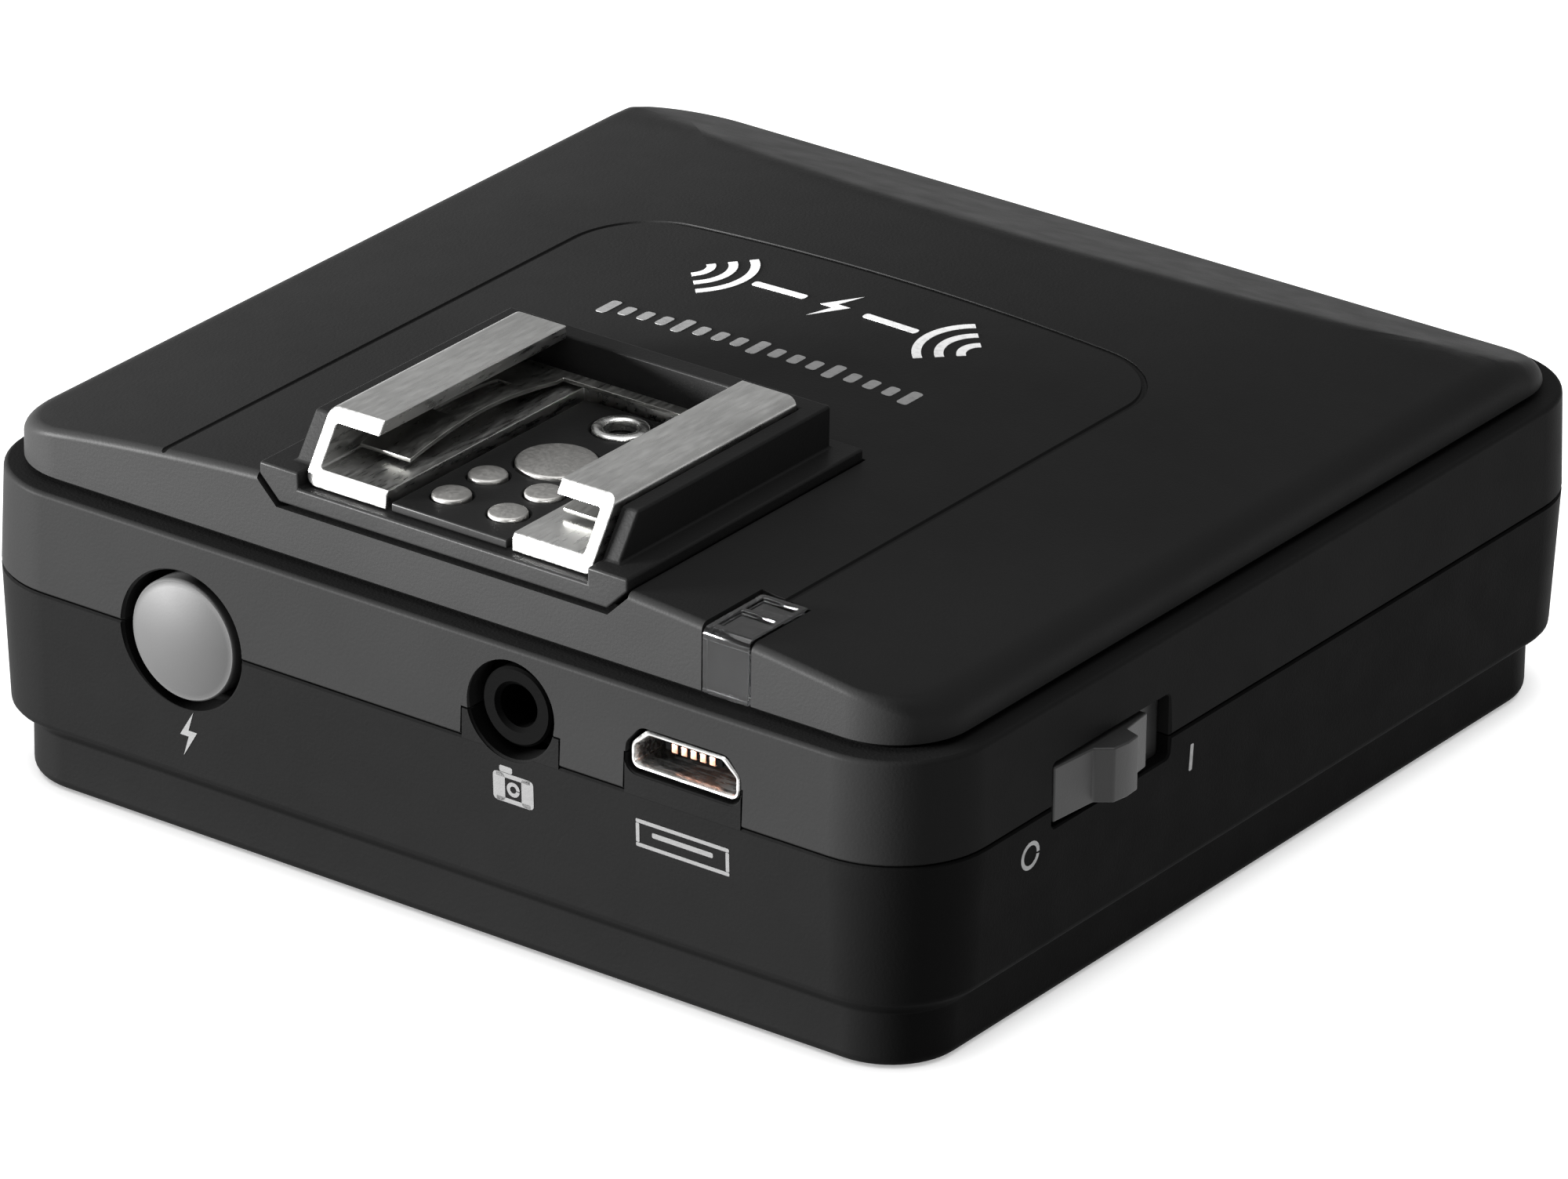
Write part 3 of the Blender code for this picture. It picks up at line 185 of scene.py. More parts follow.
SCREW_X = 28.9
SCREW_Y = 29.2
BOSS_R = 2.0
BAY_X = 26.6
BAY_FRONT_Y = 2.2
BAY_BACK_Y = 31.6
BAY_FRONT_TOP_Z = 12.2
BAY_WALL = 1.2
INSERT_BOSS_Z = 9.4
INSERT_Y = (INSERT_LOW.y + INSERT_HIGH.y) / 2
INSERT_R = INSERT_HIGH.x
DOOR_X = 25.0


# Screws, insert, cells and print

THREAD_R = 3.15
THREAD_PITCH = 1.27
CELL_NUB = 1.2
CELL_NUB_R = 2.7
INK = 0.025
INK_DEPTH = 0.12
FRONT_SYMBOL_Z = 10.9
BOLT_SYMBOL_Z = 7.4
RING_SYMBOL_Y = -24.0
BAR_SYMBOL_Y = -8.2
SIDE_SYMBOL_Z = 11.1
LINK_SYMBOL_Y = 5.0
SCALE_SYMBOL_Y = -2.6


# Shapes


pieces = bpy.data.collections.new("pieces")
bpy.context.scene.collection.children.link(pieces)


def as_object(name, bm):
    """A named object from a bmesh in millimetres."""
    bmesh.ops.recalc_face_normals(bm, faces=bm.faces)
    bmesh.ops.scale(bm, vec=(MM, MM, MM), verts=bm.verts)
    mesh = bpy.data.meshes.new(name)
    bm.to_mesh(mesh)
    bm.free()
    obj = bpy.data.objects.new(name, mesh)
    pieces.objects.link(obj)
    return obj


def boxes(name, *spans):
    bm = bmesh.new()
    for low, high in spans:
        size = [b - a for a, b in zip(low, high)]
        centre = [(a + b) / 2 for a, b in zip(low, high)]
        made = bmesh.ops.create_cube(bm, size=1.0)["verts"]
        bmesh.ops.scale(bm, vec=size, verts=made)
        bmesh.ops.translate(bm, vec=centre, verts=made)
    return as_object(name, bm)


def along(axis, u, v, w):
    """A point from its place across an axis (u, v in X, Y, Z order) and along it (w)."""
    return {"X": (w, u, v), "Y": (u, w, v), "Z": (u, v, w)}[axis]


def add_stack(bm, rings, closed=False):
    """Adds faces through rings of equal count, either capped or closed end to end."""
    loops = [[bm.verts.new(point) for point in ring] for ring in rings]
    count = len(loops[0])
    following = loops[1:] + loops[:1] if closed else loops[1:]
    for below, above in zip(loops, following):
        for i in range(count):
            j = (i + 1) % count
            bm.faces.new((below[i], below[j], above[j], above[i]))
    if not closed:
        bm.faces.new(loops[0])
        bm.faces.new(loops[-1])


def stacked(name, rings, closed=False):
    """A solid through rings of equal count."""
    bm = bmesh.new()
    add_stack(bm, rings, closed)
    return as_object(name, bm)


def extruded(outline, low, high, axis):
    """Two rings: a flat outline at two places along an axis."""
    return [[along(axis, u, v, w) for u, v in outline] for w in (low, high)]


def prism(name, outline, low, high, axis="Z"):
    """A flat outline extruded along an axis."""
    return stacked(name, extruded(outline, low, high, axis))


def turned(name, profile, place, axis="Z", sides=64):
    """A turned solid: profile is (radius, height along the axis), from one pole to the other or closed."""
    bm = bmesh.new()
    closed = profile[0] == profile[-1]
    points = profile[:-1] if closed else profile
    rings = []
    for radius, height in points:
        if radius < 1e-6:
            rings.append([bm.verts.new(Vector(place) + Vector(along(axis, 0, 0, height)))])
            continue
        ring = []
        for i in range(sides):
            turn = 2 * pi * i / sides
            offset = along(axis, radius * cos(turn), radius * sin(turn), height)
            ring.append(bm.verts.new(Vector(place) + Vector(offset)))
        rings.append(ring)
    pairs = list(zip(rings, rings[1:])) + ([(rings[-1], rings[0])] if closed else [])
    for a, b in pairs:
        for i in range(sides):
            j = (i + 1) % sides
            corners = [a[i % len(a)], a[j % len(a)], b[j % len(b)], b[i % len(b)]]
            bm.faces.new(list(dict.fromkeys(corners)))
    return as_object(name, bm)


def rounded(half_x, half_y, radius, corner_steps=CORNER_STEPS, runs=1):
    """A rounded rectangle, anticlockwise, as (x, y, normal x, normal y) points; runs split its sides."""
    points = []
    for quarter, (sx, sy) in enumerate(((1, 1), (-1, 1), (-1, -1), (1, -1))):
        for step in range(corner_steps + 1):
            turn = pi / 2 * (quarter + step / corner_steps)
            nx, ny = cos(turn), sin(turn)
            x = sx * (half_x - radius) + radius * nx
            y = sy * (half_y - radius) + radius * ny
            points.append((x, y, nx, ny))
        reach = (half_y if quarter % 2 else half_x) - radius
        x, y, nx, ny = points[-1]
        for step in range(1, runs):
            travel = 2 * reach * step / runs
            points.append((x - ny * travel, y + nx * travel, nx, ny))
    return points


def arc(centre, radius, start, end, steps):
    turns = [radians(start + (end - start) * i / steps) for i in range(steps + 1)]
    return [(centre[0] + radius * cos(t), centre[1] + radius * sin(t)) for t in turns]


def rod(radius, low, high):
    """The profile of a plain round bar."""
    return [(0, low), (radius, low), (radius, high), (0, high)]


def circle(centre, radius, sides):
    return arc(centre, radius, 0, 360 * (sides - 1) / sides, sides - 1)


def tube(name, points, radius, sides):
    """A round bar along points, with closed ends."""
    curve = bpy.data.curves.new(name, "CURVE")
    curve.dimensions = "3D"
    curve.bevel_depth = radius * MM
    curve.bevel_resolution = max(0, sides // 4 - 1)
    curve.use_fill_caps = True
    spline = curve.splines.new("POLY")
    spline.points.add(len(points) - 1)
    for point, place in zip(spline.points, points):
        point.co = (*(Vector(place) * MM), 1)
    source = bpy.data.objects.new(name, curve)
    pieces.objects.link(source)
    bpy.context.view_layer.update()
    graph = bpy.context.evaluated_depsgraph_get()
    mesh = bpy.data.meshes.new_from_object(source.evaluated_get(graph))
    bpy.data.objects.remove(source)
    bm = bmesh.new()
    bm.from_mesh(mesh)
    bpy.data.meshes.remove(mesh)
    bmesh.ops.remove_doubles(bm, verts=bm.verts, dist=1e-7)
    bmesh.ops.scale(bm, vec=(1 / MM,) * 3, verts=bm.verts)
    return as_object(name, bm)


# Working on shapes


def settle(obj):
    """Makes the object's modifiers part of its mesh."""
    bpy.context.view_layer.update()
    graph = bpy.context.evaluated_depsgraph_get()
    mesh = bpy.data.meshes.new_from_object(obj.evaluated_get(graph))
    obj.modifiers.clear()
    obj.data = mesh
    return obj


def combine(target, tools, operation):
    for tool in tools:
        boolean = target.modifiers.new("combine", "BOOLEAN")
        boolean.operation = operation
        boolean.solver = "EXACT"
        boolean.object = tool
    settle(target)
    for tool in tools:
        bpy.data.objects.remove(tool)
    return target


def cut(target, *tools):
    return combine(target, tools, "DIFFERENCE")


def fuse(target, *tools):
    return combine(target, tools, "UNION")


def soften(obj, width, segments=3):
    """Rounds the sharp edges."""
    bevel = obj.modifiers.new("soften", "BEVEL")
    bevel.width = width * MM
    bevel.segments = segments
    bevel.limit_method = "ANGLE"
    bevel.angle_limit = radians(30)
    bevel.use_clamp_overlap = True
    return settle(obj)


def show(obj, body, look, nodes=()):
    """Shades a piece, gives it its material, and hands it to a body of the frame."""
    obj.data.shade_smooth()
    obj.data.set_sharp_from_angle(angle=radians(32))
    weighted = obj.modifiers.new("normals", "WEIGHTED_NORMAL")
    weighted.keep_sharp = True
    obj.data.materials.clear()
    obj.data.materials.append(LOOKS[look])
    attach(obj, body)
    if nodes:
        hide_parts(*nodes)
    return obj


# Case


def deck_height(x, y):
    """Height of the cover's top surface: a crown, cut down by the rear slope."""
    crown = CROWN_Z - x * x / (2 * CROWN_RADIUS)
    slope = REAR_EDGE_Z + (COVER_Y - y) * tan(REAR_SLOPE)
    share = min(1.0, max(0.0, 0.5 + 0.5 * (slope - crown) / CREASE_BLEND))
    return slope * (1 - share) + crown * share - CREASE_BLEND * share * (1 - share)


def cover_outline(inset):
    return rounded(COVER_X - inset, COVER_Y - inset, max(COVER_R - inset, 0.8), runs=36)


def cover_edge_ring(angle):
    """One ring of the fillet between the cover's wall and its top."""
    ring = []
    for x, y, nx, ny in cover_outline(0):
        fillet = SIDE_FILLET * nx * nx + (REAR_FILLET if ny > 0 else FRONT_FILLET) * ny * ny
        inward = fillet * (1 - cos(angle))
        px, py = x - nx * inward, y - ny * inward
        height = deck_height(px, py) - fillet * (1 - sin(angle))
        ring.append((px, py, max(height, LEDGE_Z + COVER_FOOT + 0.05)))
    return ring


def shoe_cutout():
    """The opening for the shoe's plinth, narrower at its foot, open at the front."""
    top, foot = BASE_HIGH.x + SEAM, PLINTH_FOOT_X + SEAM
    low, high = PLINTH_BOTTOM_Z - GAP, CROWN_Z + 1
    shoulder = low + top - foot
    outline = [(-foot, low), (foot, low), (top, shoulder), (top, high), (-top, high), (-top, shoulder)]
    return prism("shoe_cutout", outline, FRONT_Y - 1, BASE_HIGH.y + SEAM, "Y")


def groove_tool():
    """A thin round bar that presses the panel groove into the deck."""
    r = GROOVE_CORNER_R
    front, turn_y = FRONT_Y + 0.4, GROOVE_BACK_Y - r
    side = [(GROOVE_X, front + (turn_y - front) * i / 24) for i in range(24)]
    bend = arc((GROOVE_X - r, turn_y), r, 0, 90, 16)
    reach = GROOVE_X - r
    back = [(reach - 2 * reach * i / 24, GROOVE_BACK_Y) for i in range(1, 24)]
    half = side + bend
    route = half + back + [(-x, y) for x, y in reversed(half)]
    return tube("groove_tool", [(x, y, deck_height(x, y)) for x, y in route], GROOVE_R, 12)


def level_ring(inset, height):
    """The cover's outline, inset, at one height."""
    return [(x, y, height) for x, y, *_ in cover_outline(inset)]


def deck_ring(inset, depth=0.0):
    """The cover's outline, inset, at a depth under the deck's surface."""
    return [(x, y, deck_height(x, y) - depth) for x, y, *_ in cover_outline(inset)]


def make_cover():
    """The crowned panel: hollow below, with its cut-out, its notch and its groove."""
    edges = [cover_edge_ring(radians(angle)) for angle in range(0, 91, 10)]
    tops = [deck_ring(1.8 + 0.75 * i) for i in range(40)]
    cover = stacked("cover_panel", [level_ring(0, LEDGE_Z + COVER_FOOT), *edges, *tops])
    lining = [deck_ring(inset, COVER_SKIN) for inset in (COVER_SKIN, 5, 8, 11, 14, 29)]
    inside = stacked("cover_hollow", [level_ring(COVER_SKIN, LEDGE_Z - 1), *lining])
    half, back, _, _ = pipe_recess()
    notch = ((PIPE_X - half, FRONT_Y - 1, LEDGE_Z), (PIPE_X + half, back, CROWN_Z + 1))
    return cut(cover, inside, shoe_cutout(), boxes("pipe_notch", notch), groove_tool())


def make_shade_strip():
    """Painted shade: a near-black strip under the cover's edge, set back, that stands in for the shadow line
    there.
    """
    heights = (LEDGE_Z + 0.02, LEDGE_Z + COVER_FOOT + 0.04)
    shade_strip = stacked("cover_shade_strip", [level_ring(SHADE_STRIP_INSET, z) for z in heights])
    inner = SHADE_STRIP_INSET + SHADE_STRIP_WIDTH
    hole = stacked("shade_strip_hole", [level_ring(inner, z) for z in (LEDGE_Z - 1, LEDGE_Z + 3)])
    half, _, _, front = pipe_recess()
    notch = ((PIPE_X - half, FRONT_Y - 1, LEDGE_Z - 1), (PIPE_X + half, front + 0.2, LEDGE_Z + 2))
    return cut(shade_strip, hole, boxes("shade_strip_notch", notch))


def pipe_recess():
    """Half width, back, shelf height and front of the recess for the clear angle piece."""
    half = (PIPE_HIGH.x - PIPE_LOW.x) / 2 + SEAM
    shelf = deck_height(PIPE_X, PIPE_HIGH.y) - PIPE_THICK - SEAM
    return half, PIPE_HIGH.y + SEAM, shelf, PIPE_LOW.y + PIPE_THICK + SEAM


def make_pipe_seat():
    """The dark block behind and under the clear angle piece, slotted for its leg."""
    half, back, shelf, front = pipe_recess()
    low, high = (PIPE_X - half, front, LEDGE_Z + 0.05), (PIPE_X + half, back, shelf)
    seat = boxes("pipe_seat", (low, high))
    slot = ((PIPE_X - 1.1, back - 1.1, LEDGE_Z - 1), (PIPE_X + 1.1, back + 1, shelf + 1))
    return soften(cut(seat, boxes("leg_slot", slot)), 0.08)


def case_ring(height, inset):
    outline = rounded(HALF_X - inset, HALF_Y - inset, CORNER_R - inset)
    return [(x, y, height) for x, y, *_ in outline]


def fillet_rings(z, inset, radius, side, steps=5):
    """Rings of a rounded edge: side 1 is an upper edge, and -1 a lower one, from the wall inwards."""
    rings = []
    for i in range(steps + 1):
        turn = pi / 2 * i / steps
        drop, shrink = radius * (1 - sin(turn)), radius * (1 - cos(turn))
        rings.append(case_ring(z - side * drop, inset + shrink))
    return rings


def flared(name, outline, axis, surface, inward, depth, flare):
    """A cutter whose mouth opens with a chamfer. outline(grow) gives the opening's shape."""
    levels = ((-2.0, flare), (0.0, flare), (flare, 0.0), (depth, 0.0))
    rings = [[along(axis, u, v, surface + inward * d) for u, v in outline(grow)] for d, grow in levels]
    return stacked(name, rings)


def button_outline(grow):
    return circle((BUTTON_X, BUTTON_Z), BUTTON_HOLE_R + grow, 80)


def jack_outline(grow):
    return circle((JACK_X, JACK_Z), JACK_RECESS_R + grow, 64)


def window_outline(grow):
    half_y = (WINDOW_BACK_Y - WINDOW_FRONT_Y) / 2 + grow
    middle = (WINDOW_BACK_Y + WINDOW_FRONT_Y) / 2
    points = rounded(half_y, WINDOW_HALF_Z + grow, 0.35 + grow, 4)
    return [(middle + u, WINDOW_Z + v) for u, v, *_ in points]


def usb_outline(grow):
    """The socket's outline: flat below, with sloped upper corners, all rounded."""
    x, z = USB_HALF_X + grow, USB_HALF_Z + grow
    corner, slope = 0.45 + grow, 1.0
    lower = min(corner, 0.5 + grow)
    points = []
    points += arc((x - lower, -z + lower), lower, -90, 0, 5)
    points += arc((x - corner, 0.0), corner, 0, 45, 4)
    points += arc((x - slope - corner * 0.4, z - corner), corner, 45, 90, 4)
    points += [(-u, v) for u, v in reversed(points)]
    return [(USB_X + u, USB_Z + v) for u, v in points]


def usb_opening(grow):
    return usb_outline(USB_SHEET + SEAM + grow)


def window_pocket():
    """Thins the wall from inside, where the slider's plate runs."""
    inner, below, above = HALF_X - WALL - 1.5, 3.4, 3.0
    low = (inner, KNOB_LOW.y - GAP, WINDOW_Z - below)
    high = (HALF_X - WINDOW_WALL, KNOB_HIGH.y + KNOB_TRAVEL + GAP, WINDOW_Z + above)
    return boxes("window_pocket", (low, high))


def wall_openings():
    """Cutters for the openings that both halves of the case share."""
    return [
        flared("button_cutter", button_outline, "Y", FRONT_Y + 0.08, 1, WALL + 0.3, 0.15),
        flared("jack_cutter", jack_outline, "Y", FRONT_Y + 0.05, 1, WALL + 1.5, 0.12),
        flared("usb_cutter", usb_opening, "Y", FRONT_Y + 0.05, 1, WALL + 1.5, 0.08),
        window_pocket(),
        flared("window_cutter", window_outline, "X", HALF_X - 0.05, -1, WALL + 1.5, 0.12),
    ]


def tab(name, x, half, top, grow):
    """A tab of the lower case that closes a socket's opening from below."""
    low = PARTING_Z - (1.0 if grow else 0.35)
    depth = WALL - 0.2 + (3.0 if grow else 0.0)
    front = FRONT_Y + (-1.0 if grow else 0.02)
    return boxes(name, ((x - half - grow, front, low), (x + half + grow, FRONT_Y + depth, top + grow)))


def socket_tabs(grow):
    return [
        tab("jack_tab", JACK_X, JACK_TAB_X, JACK_TAB_TOP_Z, grow),
        tab("usb_tab", USB_X, USB_TAB_X, USB_TAB_TOP_Z, grow),
    ]


def make_upper_case():
    foot = PARTING_Z + SEAM / 2
    rings = [
        case_ring(foot, SEAM_CHAMFER),
        case_ring(foot + SEAM_CHAMFER, 0.0),
        *fillet_rings(LEDGE_Z, UPPER_DRAFT, LEDGE_FILLET, 1),
    ]
    case = stacked("upper_case", rings)
    inner = LEDGE_Z - LEDGE_THICK
    hollow = stacked("upper_hollow", [case_ring(foot - 1, WALL), case_ring(inner, WALL + 0.2)])
    cut(case, hollow)
    cut(case, *socket_tabs(SEAM))
    cut(case, *wall_openings())
    low, high = inner - 1, LEDGE_Z + 1
    ribbon_slot = ((-4.2, -21.5, low), (4.2, -18.5, high))
    pipe_slot = ((PIPE_X - 1.4, PIPE_HIGH.y - 1.2, low), (PIPE_X + 1.4, PIPE_HIGH.y + 0.4, high))
    return cut(case, boxes("ledge_slots", ribbon_slot, pipe_slot))


def make_lower_case():
    top = PARTING_Z - SEAM / 2
    rings = [
        *fillet_rings(0, SKIRT_INSET, BASE_FILLET, -1, 8)[::-1],
        case_ring(SKIRT_TOP_Z - 0.15, SKIRT_INSET),
        case_ring(SKIRT_TOP_Z + 0.1, SKIRT_INSET - 0.12),
        case_ring(STEP_Z - 0.2, LOWER_DRAFT + 0.2),
        case_ring(STEP_Z, LOWER_DRAFT + 0.04),
        case_ring(STEP_Z + 0.25, LOWER_DRAFT),
        case_ring(top - SEAM_CHAMFER, 0.0),
        case_ring(top, SEAM_CHAMFER),
    ]
    case = stacked("lower_case", rings)
    hollow = [
        case_ring(FLOOR, SKIRT_INSET + WALL),
        case_ring(STEP_Z + 0.4, SKIRT_INSET + WALL),
        case_ring(STEP_Z + 1.6, LOWER_DRAFT + WALL),
        case_ring(top + 1, WALL),
    ]
    cut(case, stacked("lower_hollow", hollow))
    fuse(case, *lower_fittings(top))
    cut(case, *wall_openings())
    return cut(case, *lower_openings())


def screw_places():
    return [(sx * SCREW_X, sy * SCREW_Y) for sx in (-1, 1) for sy in (-1, 1)]


def lower_fittings(top):
    """Screw bosses, insert boss, bay walls and socket tabs."""
    reach, foot = BOSS_R + 0.4, FLOOR - 0.8
    post = rod(reach, top, foot)
    bosses = [turned(f"boss_{i}", post, (x, y, 0)) for i, (x, y) in enumerate(screw_places())]
    low, out = FLOOR - 0.5, BAY_X + BAY_WALL
    insert = turned("insert_boss", rod(INSERT_R + 1.5, INSERT_BOSS_Z, low), (0, INSERT_Y, 0))
    front = ((-out, BAY_FRONT_Y - BAY_WALL, low), (out, BAY_FRONT_Y, BAY_FRONT_TOP_Z))
    start = BAY_FRONT_Y - BAY_WALL / 2
    sides = [((x, start, low), (x + BAY_WALL, BAY_BACK_Y, top)) for x in (-out, BAY_X)]
    return [*bosses, insert, boxes("bay_front", front), boxes("bay_sides", *sides), *socket_tabs(0)]


def hole_profile(radius, depth, chamfer):
    """Profile of a blind hole in the underside, with a chamfered mouth."""
    wide = radius + chamfer
    return [(0, depth), (radius, depth), (radius, chamfer - 0.05), (wide, -0.05), (wide, -1), (0, -1)]


def lower_openings():
    """Cutters for the screws, the insert and the battery door."""
    seat = hole_profile(BOSS_R, 1.9, 0.25)
    seat = [(0, 12), (1.2, 12), (1.2, 1.9), *seat[1:]]
    tools = [turned(f"screw_seat_{i}", seat, (x, y, 0), sides=40) for i, (x, y) in enumerate(screw_places())]
    pocket = hole_profile(INSERT_R + SEAM, INSERT_HIGH.z + GAP, 0.3)
    tools.append(turned("insert_pocket", pocket, (0, INSERT_Y, 0), sides=64))
    narrow, wide = DOOR_X + 0.15, DOOR_HIGH.x + 0.2
    opening = ((-narrow, DOOR_LOW.y - 0.15, -1), (narrow, HALF_Y + 1, FLOOR + 0.4))
    tools.append(boxes("door_opening", opening))
    rear_front = HALF_Y - SKIRT_INSET - WALL - 2
    tools.append(boxes("lip_opening", ((-wide, rear_front, FLOOR), (wide, HALF_Y + 1, DOOR_HIGH.z + 0.15))))
    return tools


def make_door():
    """The sliding door: a plate with a rounded rear edge, a lip, grip ribs and a pull arrow."""
    back, bottom, front = DOOR_HIGH.y, DOOR_LOW.z, DOOR_LOW.y
    plate_top = FLOOR + GAP
    outline = [
        (front, bottom),
        *arc((back - BASE_FILLET, bottom + BASE_FILLET), BASE_FILLET, -90, 0, 8),
        (back, plate_top + 0.1), (front, plate_top + 0.1),
    ]
    door = prism("door_panel", outline, -DOOR_X, DOOR_X, "X")
    lip_front, flange_top = back - 1.6, plate_top + 0.8
    flange = [
        (front + 0.6, plate_top), (back, plate_top), (back, DOOR_HIGH.z),
        (lip_front, DOOR_HIGH.z), (lip_front, flange_top), (front + 0.6, flange_top),
    ]
    fuse(door, prism("door_flange", flange, -DOOR_HIGH.x, DOOR_HIGH.x, "X"))
    starts = [8 + 1.6 * i for i in range(4)]
    cut(door, boxes("door_grip", *[((-7, y, bottom - 0.5), (7, y + 0.8, bottom + 0.4)) for y in starts]))
    arrow = [(-2.6, 16.4), (2.6, 16.4), (0, 19.6)]
    cut(door, prism("door_arrow", arrow, bottom - 0.5, bottom + 0.25))
    return soften(door, 0.12)


# Hot shoe


def make_shoe_base():
    """The plastic plinth, with two cheeks and a stop wall round the metal channel."""
    front, back, half = BASE_LOW.y, BASE_HIGH.y, BASE_HIGH.x
    chamfer = half - PLINTH_FOOT_X
    outline = [
        (-PLINTH_FOOT_X, PLINTH_BOTTOM_Z), (PLINTH_FOOT_X, PLINTH_BOTTOM_Z),
        (half, PLINTH_BOTTOM_Z + chamfer), (half, PLINTH_Z), (-half, PLINTH_Z),
        (-half, PLINTH_BOTTOM_Z + chamfer),
    ]
    base = prism("shoe_plinth", outline, front, back, "Y")
    cheek = [
        (RAIL_LOW.y + 0.3, PLINTH_Z - 0.5), (CHEEK_BACK_Y, PLINTH_Z - 0.5),
        (CHEEK_BACK_Y, CHEEK_TOP_Z), (LIP_FRONT_Y - 0.1, CHEEK_TOP_Z),
    ]
    reach = CHEEK_X - 0.4
    stop = ((-reach, RAIL_HIGH.y + 0.1, PLINTH_Z - 0.4), (reach, CHEEK_BACK_Y - 0.3, CHEEK_TOP_Z - 0.3))
    fuse(base, prism("shoe_cheeks", cheek, -CHEEK_X, CHEEK_X, "X"), boxes("shoe_stop", stop))
    clear = RAIL_HIGH.x + SEAM
    floor = RAIL_LOW.z - SEAM
    channel = ((-clear, FRONT_Y - 5, floor), (clear, RAIL_HIGH.y + SEAM, RAIL_HIGH.z + 1))
    cut(base, boxes("shoe_channel", channel))
    fuse(base, boxes("shoe_pedestal", ((-8, -30, LEDGE_Z + SEAM), (8, -14.5, PLINTH_BOTTOM_Z + 0.4))))
    return soften(base, 0.16)


def make_rails():
    """One bent sheet: a floor, two walls and two lips, with slanted front ends."""
    low, top = RAIL_LOW.z, RAIL_HIGH.z
    outer, bend = RAIL_HIGH.x, SHOE_SHEET * 0.75
    inner_bend = 0.15
    lip_z = top - SHOE_SHEET
    right = [
        *arc((outer - bend, low + bend), bend, -90, 0, 8),
        *arc((outer - bend, top - bend), bend, 0, 90, 8), (LIP_INNER_X, top),
        (LIP_INNER_X, lip_z),
        *arc((SHOE_INNER_X - inner_bend, lip_z - inner_bend), inner_bend, 90, 0, 3),
        *arc((SHOE_INNER_X - inner_bend, SHOE_FLOOR_Z + inner_bend), inner_bend, 0, -90, 3),
    ]
    outline = right + [(-x, z) for x, z in reversed(right)]
    rails = prism("shoe_channel_sheet", outline, RAIL_LOW.y, RAIL_HIGH.y, "Y")
    slant = [
        (RAIL_LOW.y - 1, low + 0.8), (RAIL_LOW.y, low + 0.8), (LIP_FRONT_Y, top + 0.5),
        (RAIL_LOW.y - 1, top + 0.5),
    ]
    cut(rails, prism("rail_slant", slant, -outer - 1, outer + 1, "X"))
    corner = (SHOE_CUT_X, RAIL_HIGH.y - SHOE_BRIDGE, SHOE_FLOOR_Z + 1)
    opening = ((-SHOE_CUT_X, FRONT_Y - 1, low - 1), corner)
    drill = rod(0.5, SHOE_FLOOR_Z + 1, low - 1)
    holes = [turned(f"hole_{i}", drill, (x, y, 0), sides=24) for i, (x, y) in enumerate(RIVET_PLACES)]
    cut(rails, boxes("rail_opening", opening), *holes)
    return soften(rails, 0.07)


def make_leaf_spring():
    """Two arched arms, joined at the back, with turned-up tips."""
    rest, thick = SPRING_LOW.z, 0.25
    front, back = SPRING_LOW.y, SPRING_HIGH.y
    rise = SPRING_HIGH.z - rest - thick
    upper, lower = [], []
    for i in range(31):
        share = i / 30
        y = front + (back - front) * share
        lift = rise * sin(pi * min(1.0, share * 1.1)) if share < 0.91 else 0.0
        upper.append((y, rest + thick + lift))
        lower.append((y, rest + lift))
    spring = prism("leaf_spring", lower + upper[::-1], SPRING_LOW.x, SPRING_HIGH.x, "X")
    gap = ((-5.4, front - 1, rest - 1), (5.4, back - 0.9, rest + 3))
    slots = [((s * 7.2 - 0.5, -24.0, rest - 1), (s * 7.2 + 0.5, -18.0, rest + 3)) for s in (-1, 1)]
    cut(spring, boxes("spring_gap", gap), boxes("spring_slots", *slots))
    return soften(spring, 0.05, 2)


def plan_centre(node):
    """Middle of a node in plan, with its radius."""
    low, high = span(node)
    return ((low.x + high.x) / 2, (low.y + high.y) / 2), (high.x - low.x) / 2


def well(name, place, radius):
    """A cutter for a contact's well, with a chamfered mouth."""
    top, low = BLOCK_HIGH.z, BLOCK_LOW.z - 1
    wide = radius + 0.12
    mouth = [(0, top + 1), (wide, top + 1), (wide, top + 0.02)]
    profile = [*mouth, (radius, top - 0.1), (radius, low), (0, low)]
    return turned(name, profile, (*place, 0), sides=48)


def make_contact_block():
    block = soften(boxes("contact_carrier", (BLOCK_LOW, BLOCK_HIGH)), 0.12)
    filled = [plan_centre(node) for node in (*DATA_CONTACTS, "centre_contact", "lock_ring")]
    return cut(block, *[well(f"well_{i}", place, r + 0.1) for i, (place, r) in enumerate(filled)])


def make_contact(name, node):
    """A contact button with a slightly domed face and a rounded rim."""
    place, radius = plan_centre(node)
    low, high = span(node)
    rim, dome = 0.16, 0.05
    shoulder = high.z - dome
    edge = arc((radius - rim, shoulder - rim), rim, 90, 0, 6)
    profile = [(0, high.z), (radius * 0.5, high.z - dome * 0.3), *edge, (radius, low.z), (0, low.z)]
    return turned(name, profile, (*place, 0), sides=48)


def make_lock_ring():
    """The metal lining of the locking-pin hole, with a rolled rim."""
    place, radius = plan_centre("lock_ring")
    top, low = BLOCK_HIGH.z, BLOCK_LOW.z
    middle, roll = (LOCK_HOLE_R + radius) / 2, (radius - LOCK_HOLE_R) / 2
    rim = [(r, top + (z - top) * 0.5) for r, z in arc((middle, top), roll, 0, 180, 10)]
    profile = [*rim, (LOCK_HOLE_R, low), (radius, low), rim[0]]
    return turned("lock_pin_ring", profile, (*place, 0), sides=56)


# Controls


